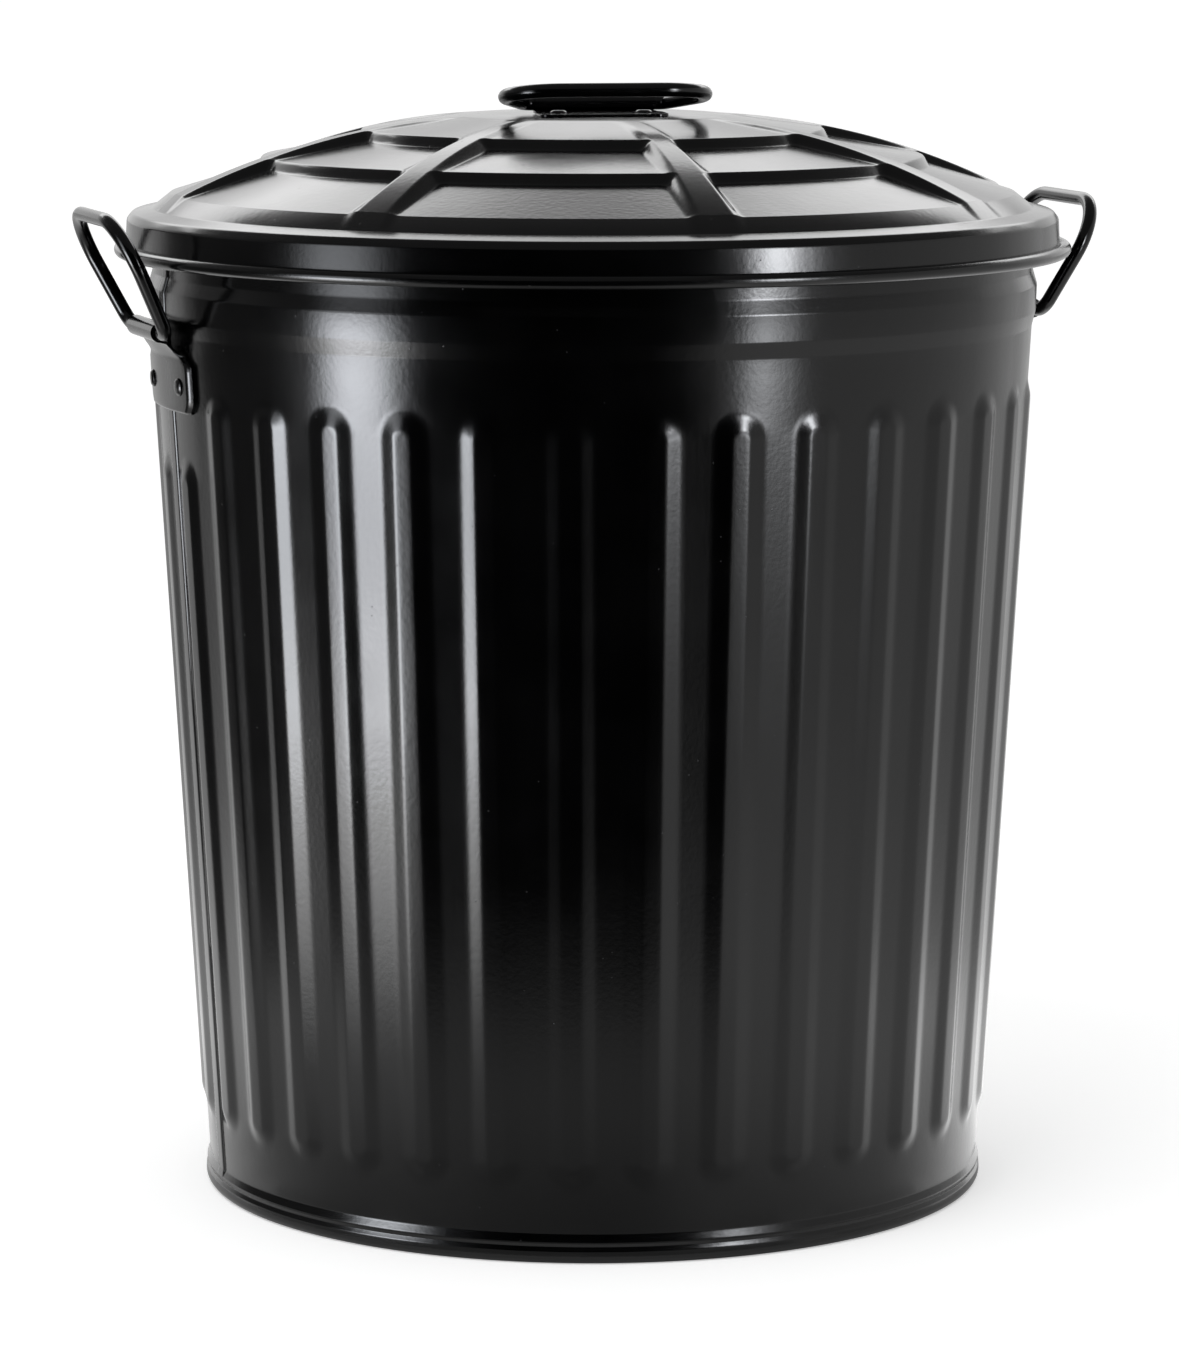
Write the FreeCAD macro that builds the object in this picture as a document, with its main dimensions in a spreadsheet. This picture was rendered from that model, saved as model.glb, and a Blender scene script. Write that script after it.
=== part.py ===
import FreeCAD, Part
import math
import os

import Sketcher

# A painted sheet steel trash can with a stepped, domed lid. All sizes are in millimetres.
# The origin is on the floor under the middle of the can, +Z is up, and the two side
# handles are at -X and +X. Bearings are degrees about +Z, counted from -Y towards +X.

doc = FreeCAD.newDocument("trash_can")
sheet = doc.addObject("Spreadsheet::Sheet", "Dimensions")

DRIVING = [
    ("steel", 0.8, "thickness of the can's and the lid's sheet"),
    ("wall_foot_radius", 176.3, "outside of the wall, carried on down to the floor"),
    ("wall_slope", 0.0568, "how much the wall's radius grows for each mm of height"),
    ("curl_radius", 3.5, "outside of the rolled rim and of the rolled foot"),
    ("foot_centre_radius", 175.3, "middle of the rolled foot"),
    ("foot_flat", 0.15, "how much of the rolled foot's underside is pressed flat"),
    ("flare_bottom", 7.3, "height of the crease between the foot and its flare"),
    ("flare_middle", 8.7, "height where the flare stands out most"),
    ("flare_top", 12.5, "height where the flare has run out"),
    ("flare_reach", 1.7, "how far the flare stands out"),
    ("shoulder_low", 393.4, "start of the lower shoulder of the rib"),
    ("rib_low", 400.3, "lower edge of the raised rib"),
    ("rib_high", 411.4, "upper edge of the raised rib"),
    ("neck_low", 417.8, "start of the straight neck"),
    ("rib_radius", 200.8, "outside of the raised rib"),
    ("neck_radius", 198.9, "outside of the neck"),
    ("rim_height", 440.4, "height of the middle of the rolled rim"),
    ("flute_count", 34, "flutes round the wall"),
    ("flute_low", 34.0, "lowest point of a flute"),
    ("flute_high", 370.0, "highest point of a long flute"),
    ("short_flute_high", 338.0, "highest point of the two flutes below each ear"),
    ("long_flutes", 15, "long flutes between the ears, at the front and at the back"),
    ("flute_height", 1.8, "how far a flute's crest stands out"),
    ("flute_half_width", 11.0, "half of a flute's width where it leaves the wall"),
    ("crest_half_width", 4.0, "half of the flat crest's width"),
    ("seam_height", 0.7, "how far the lock seam stands out"),
    ("seam_angle", 2.4, "width of the lock seam, in degrees"),
    ("pan_height", 13.2, "underside of the can's bottom"),
    ("pan_ring_drop", 1.8, "depth of the ring pressed into the bottom"),
    ("crown_height", 487.3, "top of the lid's crown"),
    ("crown_radius", 40.0, "radius of the flat crown"),
    ("dome_radius", 353.5, "radius of the dome's curve"),
    ("dome_edge", 188.5, "radius at which the dome ends"),
    ("ledge_inner", 198.8, "inner radius of the lid's ledge"),
    ("ledge_outer", 207.6, "outer radius of the lid's ledge"),
    ("ledge_high", 445.9, "height of the ledge's inner edge"),
    ("ledge_low", 443.9, "height of the ledge's outer edge"),
    ("skirt_top_radius", 210.2, "outside of the lid's skirt at its top"),
    ("skirt_top", 441.3, "top of the skirt"),
    ("skirt_foot_radius", 210.9, "outside of the lid's skirt at its foot"),
    ("bead_height", 427.4, "height of the middle of the lid's rolled bead"),
    ("bead_radius", 3.0, "outside of the lid's rolled bead"),
    ("sector_count", 8, "stepped sectors of the lid, with a spoke between each two"),
    ("spoke_angle", 4.4, "width of a spoke, in degrees"),
    ("tread_one_in", 60.0, "radius where the inner tread leaves the dome"),
    ("tread_one_out", 104.5, "outer radius of the inner tread"),
    ("tread_two_out", 149.5, "outer radius of the middle tread"),
    ("tread_three_out", 190.6, "outer radius of the outer tread"),
    ("tread_one_low", 480.6, "height of the inner tread's outer edge"),
    ("tread_two_low", 468.6, "height of the middle tread's outer edge"),
    ("tread_three_low", 452.35, "height of the outer tread's outer edge"),
    ("step_drop", 4.2, "height of the step between two treads"),
    ("step_run", 1.5, "how far that step runs outwards"),
    ("lid_turn", -25.2, "bearing of a sector's middle, as the lid was put on"),
    ("clip_turn", -9.4, "bearing of the lid handle's clip, as the lid was put on"),
    ("rod_radius", 3.175, "radius of the handles' rod"),
    ("grip_reach", 55.5, "from a handle's hinge to the middle of its grip"),
    ("bend_radius", 8.0, "bend between a side handle's hinge bar and its leg"),
    ("bend_middle", 27.4, "from a side handle's middle to the middle of that bend"),
    ("corner_radius", 21.0, "bend between a side handle's leg and its grip"),
    ("corner_middle", 21.3, "from a side handle's middle to the middle of that bend"),
    ("lid_bend_radius", 5.5, "bend between the lid handle's hinge bar and its leg"),
    ("lid_bend_middle", 28.6, "from the lid handle's middle to the middle of that bend"),
    ("lid_corner_radius", 23.0, "bend between the lid handle's leg and its grip"),
    ("lid_corner_middle", 21.8, "from the lid handle's middle to the middle of that bend"),
    ("lid_handle_rise", 8.5, "rise of the lid handle from level, in degrees"),
    ("hinge_radius", 207.0, "from the can's middle to a side handle's hinge"),
    ("hinge_height", 395.5, "height of a side handle's hinge"),
    ("handle_lean", 26.0, "lean of a side handle out from upright, in degrees"),
    ("ear_steel", 1.2, "thickness of the sheet of the ears and the clip"),
    ("ear_standoff", 1.9, "gap between the wall and an ear's plate"),
    ("ear_low", 359.5, "bottom of an ear's plate"),
    ("ear_high", 386.0, "top of an ear's plate"),
    ("ear_angle", 19.8, "width of an ear's plate, in degrees"),
    ("ear_corner", 8.0, "rounding of an ear's lower corners"),
    ("ear_shoulder", 7.0, "bevel of an ear's upper corners"),
    ("ear_barrel_length", 44.0, "length of an ear's rolled barrel"),
    ("barrel_clearance", 0.08, "gap between a rod and the barrel round it"),
    ("ear_rivet_bearing", 6.5, "from an ear's middle to each of its rivets, in degrees"),
    ("ear_rivet_height", 371.6, "height of an ear's rivets"),
    ("rivet_radius", 2.35, "shank of a rivet"),
    ("rivet_head_radius", 4.0, "head of a rivet"),
    ("rivet_head_height", 1.5, "height of a rivet's head"),
    ("clip_hinge_height", 492.0, "height of the lid handle's hinge"),
    ("clip_hinge_offset", 4.0, "from the lid's middle forward to that hinge"),
    ("clip_front", 38.0, "from the lid's middle forward to the clip's front edge"),
    ("clip_half_width", 29.0, "half of the clip's width"),
    ("clip_barrel_length", 55.0, "length of the clip's rolled barrel"),
    ("clip_rivet_x", 19.3, "from the lid's middle sideways to each rivet"),
    ("clip_rivet_y", 24.0, "from the lid's middle forward to each rivet"),
]


class Size:
    """A number together with the sheet expression that gives it."""

    def __init__(self, value, text):
        self.value = value
        self.text = text

    def join(self, other, sign, value):
        return Size(value, "(%s %s %s)" % (self.text, sign, as_size(other).text))

    def __add__(self, other):
        return self.join(other, "+", self.value + as_size(other).value)

    def __sub__(self, other):
        return self.join(other, "-", self.value - as_size(other).value)

    def __mul__(self, other):
        return self.join(other, "*", self.value * as_size(other).value)

    def __truediv__(self, other):
        return self.join(other, "/", self.value / as_size(other).value)


def as_size(item):
    if isinstance(item, Size):
        return item
    return Size(float(item), repr(float(item)))


def fill_sheet():
    """Write the driving dimensions and return them by name."""
    sizes = {}
    for row, (alias, value, note) in enumerate(DRIVING, start=1):
        sheet.set("A%d" % row, note)
        sheet.set("B%d" % row, str(value))
        sheet.setAlias("B%d" % row, alias)
        sizes[alias] = Size(float(value), "Dimensions.%s" % alias)
    doc.recompute()
    return sizes


D = fill_sheet()
STEEL = D["steel"]


def bind(target, path, size):
    """Give a property its value and tie it to the sheet."""
    target.setExpression(path, as_size(size).text)


def new_body(label):
    body = doc.addObject("PartDesign::Body", label)
    body.Label = label
    return body


def origin_part(body, role):
    return [item for item in body.Origin.OriginFeatures if item.Role == role][0]


def new_sketch(body, name, plane="XZ_Plane"):
    sketch = body.newObject("Sketcher::SketchObject", name)
    sketch.AttachmentSupport = [(origin_part(body, plane), "")]
    sketch.MapMode = "FlatFace"
    return sketch


def pin_point(sketch, edge, end, x=None, y=None):
    """Hold a point of a sketch at distances from the sketch's origin."""
    for kind, size in (("DistanceX", x), ("DistanceY", y)):
        if size is None:
            continue
        size = as_size(size)
        if abs(size.value) < 1e-9:
            on_axis = -2 if kind == "DistanceX" else -1
            sketch.addConstraint(Sketcher.Constraint("PointOnObject", edge, end, on_axis))
            continue
        index = sketch.addConstraint(Sketcher.Constraint(kind, -1, 1, edge, end, size.value))
        bind(sketch, "Constraints[%d]" % index, size)


def outline(body, name, points, plane="XZ_Plane"):
    """A closed sketch of straight lines through the points (x, y)."""
    sketch = new_sketch(body, name, plane)
    points = [(as_size(x), as_size(y)) for x, y in points]
    spots = [FreeCAD.Vector(x.value, y.value, 0) for x, y in points]
    count = len(points)
    for i in range(count):
        sketch.addGeometry(Part.LineSegment(spots[i], spots[(i + 1) % count]), False)
    for i in range(count):
        sketch.addConstraint(Sketcher.Constraint("Coincident", i, 2, (i + 1) % count, 1))
        pin_point(sketch, i, 1, *points[i])
    return sketch


def domed_outline(body, name, before, centre, start, end_x, after):
    """A closed sketch of lines with one arc, which ends at a given x."""
    sketch = new_sketch(body, name)
    centre = [as_size(item) for item in centre]
    start = [as_size(item) for item in start]
    middle = FreeCAD.Vector(centre[0].value, centre[1].value, 0)
    first = FreeCAD.Vector(start[0].value, start[1].value, 0)
    radius = (first - middle).Length
    end_x = as_size(end_x)
    rise = math.sqrt(radius ** 2 - (end_x.value - middle.x) ** 2)
    last = FreeCAD.Vector(end_x.value, middle.y + rise, 0)
    angle = [math.atan2(spot.y - middle.y, spot.x - middle.x) for spot in (last, first)]
    circle = Part.Circle(middle, FreeCAD.Vector(0, 0, 1), radius)
    sketch.addGeometry(Part.ArcOfCircle(circle, angle[0], angle[1]), False)
    pin_point(sketch, 0, 3, *centre)
    pin_point(sketch, 0, 2, *start)
    pin_point(sketch, 0, 1, x=end_x)
    points = [(as_size(x), as_size(y)) for x, y in after + before]
    spots = [last] + [FreeCAD.Vector(x.value, y.value, 0) for x, y in points] + [first]
    for i in range(len(spots) - 1):
        sketch.addGeometry(Part.LineSegment(spots[i], spots[i + 1]), False)
    sketch.addConstraint(Sketcher.Constraint("Coincident", 0, 1, 1, 1))
    for i in range(1, len(points) + 1):
        sketch.addConstraint(Sketcher.Constraint("Coincident", i, 2, i + 1, 1))
        pin_point(sketch, i, 2, *points[i - 1])
    sketch.addConstraint(Sketcher.Constraint("Coincident", len(points) + 1, 2, 0, 2))
    return sketch


def rings(body, name, centre, radii, plane="XZ_Plane"):
    """A sketch of circles round one centre."""
    sketch = new_sketch(body, name, plane)
    centre = [as_size(item) for item in centre]
    middle = FreeCAD.Vector(centre[0].value, centre[1].value, 0)
    for i, radius in enumerate(radii):
        radius = as_size(radius)
        circle = Part.Circle(middle, FreeCAD.Vector(0, 0, 1), radius.value)
        sketch.addGeometry(circle, False)
        pin_point(sketch, i, 3, *centre)
        index = sketch.addConstraint(Sketcher.Constraint("Radius", i, radius.value))
        bind(sketch, "Constraints[%d]" % index, radius)
    return sketch


def revolve(body, kind, name, sketch, angle=None, axis="V_Axis"):
    """Turn a sketch about an axis, all the way or by an angle centred on its plane."""
    feature = body.newObject("PartDesign::" + kind, name)
    feature.Profile = sketch
    feature.ReferenceAxis = (sketch, [axis])
    feature.Angle = 360.0
    if angle is not None:
        feature.Midplane = True
        bind(feature, "Angle", angle)
    return feature


def around(body, name, feature, count, angle=None):
    """Repeat a feature evenly round the can's middle, or over an angle."""
    pattern = body.newObject("PartDesign::PolarPattern", name)
    pattern.Originals = [feature]
    pattern.Axis = (origin_part(body, "Z_Axis"), [""])
    pattern.Angle = 360.0
    if angle is not None:
        bind(pattern, "Angle", angle)
    bind(pattern, "Occurrences", count)
    body.Tip = pattern
    return pattern


def drill(body, name, radius, length, placement):
    """A round hole, from a placement's origin along its +Z."""
    hole = body.newObject("PartDesign::SubtractiveCylinder", name)
    hole.MapMode = "Deactivated"
    bind(hole, "Radius", radius)
    bind(hole, "Height", length)
    hole.Placement = placement
    return hole


def wall(height):
    """Outside radius of the wall at a height."""
    return D["wall_foot_radius"] + D["wall_slope"] * height


WALL_ANGLE = math.degrees(math.atan(D["wall_slope"].value))


def radial_placement(bearing, radius, height):
    """+Z of the result points out of the wall, square to its slope."""
    turn = FreeCAD.Rotation(FreeCAD.Vector(0, 0, 1), bearing)
    tip = FreeCAD.Rotation(FreeCAD.Vector(1, 0, 0), 90 + WALL_ANGLE)
    spot = turn.multVec(FreeCAD.Vector(0, -radius, height))
    return FreeCAD.Placement(spot, turn.multiply(tip))


def ear_rivet_bearings():
    """Bearings of the two rivets of the left ear, then of the right ear."""
    offset = D["ear_rivet_bearing"].value
    return [side + way * offset for side in (-90, 90) for way in (1, -1)]


# ---------------------------------------------------------------- the can

def can_line(shift):
    """The can's wall from foot to neck, moved in or out by a shift."""
    return [
        (D["foot_centre_radius"] + 2.4 + shift, 5.2),
        (D["foot_centre_radius"] + 2.3 + shift, D["flare_bottom"]),
        (wall(D["flare_middle"]) + D["flare_reach"] + shift, D["flare_middle"]),
        (wall(D["flare_top"]) + shift, D["flare_top"]),
        (wall(D["shoulder_low"]) + shift, D["shoulder_low"]),
        (D["rib_radius"] - 0.3 + shift, D["rib_low"]),
        (D["rib_radius"] + shift, D["rib_high"]),
        (D["neck_radius"] + shift, D["neck_low"]),
        (D["neck_radius"] + shift, D["rim_height"]),
    ]


FLANK_RUN = (D["flute_half_width"] - D["crest_half_width"]) / D["flute_height"]


def flute_turn(function, steps):
    """A sine or cosine of a whole number of flute spacings."""
    angle = math.radians(steps * 360.0 / D["flute_count"].value)
    text = "%s(%d * 360 / Dimensions.flute_count)" % (function, steps)
    return Size(getattr(math, function)(angle), text)


def flute_section(body, name, steps, top, depth, half_width):
    """A round-ended slot outline in a plane at a depth from the wall."""
    sketch = new_sketch(body, name)
    middle = (D["flute_low"] + top) / 2
    bearing = steps * 360.0 / D["flute_count"].value
    turn = FreeCAD.Rotation(FreeCAD.Vector(0, 1, 0), bearing)
    lean = FreeCAD.Rotation(FreeCAD.Vector(1, 0, 0), WALL_ANGLE)
    sketch.AttachmentOffset = FreeCAD.Placement(FreeCAD.Vector(0, 0, 0), turn.multiply(lean))
    reach = wall(middle) + depth
    bind(sketch, "AttachmentOffset.Base.x", reach * flute_turn("sin", steps))
    bind(sketch, "AttachmentOffset.Base.y", middle)
    bind(sketch, "AttachmentOffset.Base.z", reach * flute_turn("cos", steps))
    half = (top - D["flute_low"]) / 2 - D["flute_half_width"]
    wide = half_width.value
    high = half.value
    up = FreeCAD.Vector(0, 0, 1)
    tops = [FreeCAD.Vector(0, high, 0), FreeCAD.Vector(0, -high, 0)]
    sketch.addGeometry(Part.ArcOfCircle(Part.Circle(tops[0], up, wide), 0, math.pi), False)
    sketch.addGeometry(
        Part.ArcOfCircle(Part.Circle(tops[1], up, wide), math.pi, 2 * math.pi), False)
    for side in (-1, 1):
        low = FreeCAD.Vector(side * wide, -high, 0)
        sketch.addGeometry(Part.LineSegment(low, FreeCAD.Vector(side * wide, high, 0)), False)
    for first, end, line, tip in ((0, 2, 2, 2), (1, 1, 2, 1), (0, 1, 3, 2), (1, 2, 3, 1)):
        sketch.addConstraint(Sketcher.Constraint("Tangent", first, end, line, tip))
    pin_point(sketch, 0, 3, x=0, y=half)
    pin_point(sketch, 1, 3, x=0, y=half * -1)
    index = sketch.addConstraint(Sketcher.Constraint("Radius", 0, wide))
    bind(sketch, "Constraints[%d]" % index, half_width)
    return sketch


def flute(body, kind, name, steps, top, low, high, shift):
    """One flute, lofted between its outlines at two depths."""
    sections = []
    for depth in (low, high):
        drop = D["flute_height"] + shift - depth
        half_width = D["crest_half_width"] + FLANK_RUN * drop
        label = "%s_outline_%d" % (name, len(sections))
        sections.append(flute_section(body, label, steps, top, depth, half_width))
    loft = body.newObject("PartDesign::" + kind, name)
    loft.Profile = sections[0]
    loft.Sections = [sections[1]]
    loft.Ruled = True
    doc.recompute()
    return loft


def flute_row(body, name, first, count, top):
    """A run of flutes side by side, pressed out of the sheet from the inside."""
    skins = [
        ("AdditiveLoft", "_out", as_size(-0.6), D["flute_height"], as_size(0)),
        ("SubtractiveLoft", "_in", as_size(-1.9), D["flute_height"] - STEEL, STEEL * -1),
    ]
    for kind, ending, low, high, shift in skins:
        seed = flute(body, kind, name + ending, first, top, low, high, shift)
        run = (count - 1) * 360 / D["flute_count"]
        around(body, name + ending + "_row", seed, count, run)
        doc.recompute()


def make_body_shell():
    """The fluted wall with its rib, neck, rolled rim, rolled foot and lock seam."""
    body = new_body("body_shell")
    band = can_line(as_size(0)) + can_line(STEEL * -1)[::-1]
    revolve(body, "Revolution", "wall", outline(body, "wall_band", band))
    doc.recompute()
    long_flutes = D["long_flutes"]
    half_row = (int(long_flutes.value) - 1) // 2
    across = int(D["flute_count"].value) // 2
    rows = [
        ("front_flute", -half_row, long_flutes, D["flute_high"]),
        ("right_flute", half_row + 1, as_size(2), D["short_flute_high"]),
        ("back_flute", across - half_row, long_flutes, D["flute_high"]),
        ("left_flute", across + half_row + 1, as_size(2), D["short_flute_high"]),
    ]
    for name, first, count, top in rows:
        flute_row(body, name, first, count, top)
    inside = D["curl_radius"] - STEEL
    rim_centre = (D["neck_radius"] - STEEL + D["curl_radius"], D["rim_height"])
    revolve(body, "Revolution", "rim",
            rings(body, "rim_rings", rim_centre, (D["curl_radius"], inside)))
    foot_centre = (D["foot_centre_radius"], D["curl_radius"] - D["foot_flat"])
    revolve(body, "Revolution", "foot",
            rings(body, "foot_rings", foot_centre, (D["curl_radius"], inside)))
    doc.recompute()
    below = [(160, -2), (190, -2), (190, 0), (160, 0)]
    revolve(body, "Groove", "worn_foot", outline(body, "floor_outline", below))
    slot_in = D["foot_centre_radius"] - 0.5
    slot_out = D["foot_centre_radius"] + 0.5
    slot = [(slot_in, 5.0), (slot_out, 5.0), (slot_out, 7.2), (slot_in, 7.2)]
    revolve(body, "Groove", "pan_slot", outline(body, "slot_outline", slot))
    new_seam(body)
    for i, bearing in enumerate(ear_rivet_bearings()):
        height = D["ear_rivet_height"].value
        spot = radial_placement(bearing, wall(height).value - 3, height)
        drill(body, "rivet_hole_%d" % i, D["rivet_radius"] + 0.06, as_size(8), spot)
    return body


def seam_runs(shift):
    """The lock seam's line below and above the left ear, moved in or out by a shift."""
    line = can_line(shift)
    low = D["ear_low"] - 1
    high = D["ear_high"] + 1
    return [[line[3], (wall(low) + shift, low)], [(wall(high) + shift, high)] + line[4:8]]


def new_seam(body):
    """The raised strip that locks the ends of the wall's sheet, pressed flat at the ear."""
    turn = FreeCAD.Rotation(FreeCAD.Vector(0, 1, 0), 180)
    raised = seam_runs(D["seam_height"])
    buried = seam_runs(STEEL * -0.5)
    for name, front, back in zip(("low", "high"), raised, buried):
        sketch = outline(body, "seam_outline_" + name, front + back[::-1])
        sketch.AttachmentOffset = FreeCAD.Placement(FreeCAD.Vector(0, 0, 0), turn)
        body.Tip = revolve(body, "Revolution", "lock_seam_" + name, sketch, D["seam_angle"])
        doc.recompute()


def make_rim_wire():
    body = new_body("rim_wire")
    centre = (D["neck_radius"] - STEEL + D["curl_radius"], D["rim_height"])
    radius = D["curl_radius"] - STEEL - 0.1
    revolve(body, "Revolution", "ring", rings(body, "section", centre, (radius,)))
    return body


def make_base_pan():
    """The bottom: a raised disc with a pressed ring, and a skirt held in the rolled foot."""
    body = new_body("base_pan")
    low = D["pan_height"]
    drop = D["pan_ring_drop"]
    skirt = D["foot_centre_radius"] - STEEL / 2
    under = [
        (0, low), (118, low), (122, low - drop), (148, low - drop), (152, low),
        (skirt - 3.4, low), (skirt - 0.7, low - 1.4), (skirt, low - 3.8), (skirt, 1.4),
    ]
    over = [
        (skirt + STEEL, 1.4), (skirt + STEEL, low - 3.4), (skirt, low - 0.7),
        (skirt - 3.0, low + STEEL), (151.6, low + STEEL), (147.6, low + STEEL - drop),
        (122.4, low + STEEL - drop), (118.4, low + STEEL), (0, low + STEEL),
    ]
    revolve(body, "Revolution", "pan", outline(body, "pan_outline", under + over))
    return body


# ---------------------------------------------------------------- the lid

def tread_line(shift_x, shift_z):
    """The stepped treads from the innermost to the rim, moved by two shifts."""
    run = D["step_run"]
    drop = D["step_drop"]
    dome = dome_height(D["tread_one_in"].value, D["dome_radius"].value)
    points = [
        (D["tread_one_in"], as_size(dome)),
        (D["tread_one_out"], D["tread_one_low"]),
        (D["tread_one_out"] + run, D["tread_one_low"] - drop),
        (D["tread_two_out"], D["tread_two_low"]),
        (D["tread_two_out"] + run, D["tread_two_low"] - drop),
        (D["tread_three_out"], D["tread_three_low"]),
    ]
    return [(x + shift_x, z + shift_z) for x, z in points]


def dome_height(radius, curve):
    """Height of a dome of a given curve, over the crown's own centre, at a radius."""
    centre = D["crown_height"].value - D["dome_radius"].value
    return centre + math.sqrt(curve ** 2 - (radius - D["crown_radius"].value) ** 2)


def clip_rivet_spot(side, height):
    """Where a rivet of the clip stands, before the clip is turned."""
    return FreeCAD.Vector(side * D["clip_rivet_x"].value, -D["clip_rivet_y"].value, height)


def make_lid_shell():
    """The lid: a dome with spokes and stepped treads, a ledge, a skirt and a rolled bead."""
    body = new_body("lid_shell")
    centre = (D["crown_radius"], D["crown_height"] - D["dome_radius"])
    skirt_foot = [(D["skirt_foot_radius"], D["bead_height"]), (0, D["bead_height"])]
    edge = [
        (D["ledge_inner"], D["ledge_high"]), (D["ledge_outer"], D["ledge_low"]),
        (D["skirt_top_radius"] - 0.7, D["skirt_top"] + 1.6),
        (D["skirt_top_radius"], D["skirt_top"]),
    ]
    dome = domed_outline(body, "dome_outline", [(0, D["crown_height"])], centre,
                         (D["crown_radius"], D["crown_height"]), D["dome_edge"],
                         edge + skirt_foot)
    revolve(body, "Revolution", "dome", dome)
    doc.recompute()
    turn = as_size(360) / D["sector_count"] - D["spoke_angle"]
    above = [(200, D["tread_three_low"]), (200, 495), (D["tread_one_in"], 495)]
    treads = tread_line(0, 0) + above
    steps = revolve(body, "Groove", "treads", outline(body, "tread_outline", treads), turn)
    doc.recompute()
    around(body, "all_treads", steps, D["sector_count"])
    doc.recompute()
    hollow = [
        (0, D["bead_height"] - 1), (0, D["crown_height"] - STEEL),
        (D["crown_radius"], D["crown_height"] - STEEL),
    ]
    hollow += tread_line(STEEL * -1, STEEL * -1)
    hollow += [
        (D["ledge_inner"] - 0.4, D["ledge_high"] - 0.9),
        (D["ledge_outer"] - 0.35, D["ledge_low"] - STEEL),
        (D["skirt_top_radius"] - 1.3, D["skirt_top"] + 1.1),
        (D["skirt_top_radius"] - STEEL, D["skirt_top"]),
        (D["skirt_foot_radius"] - STEEL, D["bead_height"]),
        (D["skirt_foot_radius"] - STEEL, D["bead_height"] - 1),
    ]
    revolve(body, "Groove", "hollow", outline(body, "hollow_outline", hollow))
    doc.recompute()
    spoke_angle = D["spoke_angle"] - 0.74
    spoke_start = dome_height(D["tread_one_in"].value - 1.0, D["dome_radius"].value - 0.8)
    under = [(104, 470), (D["tread_one_in"] - 1.0, 480)]
    spoke = domed_outline(body, "spoke_outline", under, centre,
                          (D["tread_one_in"] - 1.0, spoke_start), D["dome_edge"] - 0.6,
                          [(D["tread_three_out"] - 1.2, D["tread_three_low"] - 1.4),
                           (150, 458)])
    half_sector = 180.0 / D["sector_count"].value
    side = FreeCAD.Rotation(FreeCAD.Vector(0, 1, 0), half_sector)
    spoke.AttachmentOffset = FreeCAD.Placement(FreeCAD.Vector(0, 0, 0), side)
    channel = revolve(body, "Groove", "spoke_channel", spoke, spoke_angle)
    doc.recompute()
    around(body, "all_spokes", channel, D["sector_count"])
    doc.recompute()
    bead_centre = (D["skirt_foot_radius"] - STEEL + D["bead_radius"], D["bead_height"])
    bead = rings(body, "bead_rings", bead_centre,
                 (D["bead_radius"], D["bead_radius"] - STEEL))
    body.Tip = revolve(body, "Revolution", "bead", bead)
    doc.recompute()
    clip_turn = D["clip_turn"].value - D["lid_turn"].value
    towards_clip = FreeCAD.Rotation(FreeCAD.Vector(0, 0, 1), clip_turn)
    for side in (-1, 1):
        spot = towards_clip.multVec(clip_rivet_spot(side, D["crown_height"].value - 4))
        drill(body, "clip_hole_%d" % (side + 1), D["rivet_radius"] + 0.06, as_size(8),
              FreeCAD.Placement(spot, FreeCAD.Rotation()))
    return body


def make_lid_rim_wire():
    body = new_body("lid_rim_wire")
    centre = (D["skirt_foot_radius"] - STEEL + D["bead_radius"], D["bead_height"])
    radius = D["bead_radius"] - STEEL - 0.1
    revolve(body, "Revolution", "ring", rings(body, "section", centre, (radius,)))
    return body


# ---------------------------------------------------------------- handles and what holds them

def barrel_rings(body, name, centre, plane):
    """The rolled barrel round a handle's hinge bar."""
    inner = D["rod_radius"] + D["barrel_clearance"]
    return rings(body, name, centre, (inner + D["ear_steel"], inner), plane)


def clear_bore(body, name, centre, plane, length):
    """Cut the hinge bar's own space out of whatever runs into the barrel."""
    cut = body.newObject("PartDesign::Pocket", name)
    cut.Profile = rings(body, name + "_outline", centre,
                        (D["rod_radius"] + D["barrel_clearance"],), plane)
    cut.Midplane = True
    bind(cut, "Length", length)
    return cut


def pad_both_ways(body, name, sketch, length):
    pad = body.newObject("PartDesign::Pad", name)
    pad.Profile = sketch
    pad.Midplane = True
    bind(pad, "Length", length)
    return pad


def corner_edges(shape, height):
    """Names of the short edges that run square to the wall at a height."""
    names = []
    for i, edge in enumerate(shape.Edges, start=1):
        ends = [vertex.Point for vertex in edge.Vertexes]
        level = all(abs(spot.z - height) < 0.5 for spot in ends)
        if level and edge.Length < 5:
            names.append("Edge%d" % i)
    return names


def wall_face(shape):
    """Name of the face that lies nearest to the can's axis."""
    reach = []
    for i, face in enumerate(shape.Faces, start=1):
        middle = face.CenterOfMass
        reach.append((math.hypot(middle.x, middle.y), "Face%d" % i))
    return min(reach)[1]


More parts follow.
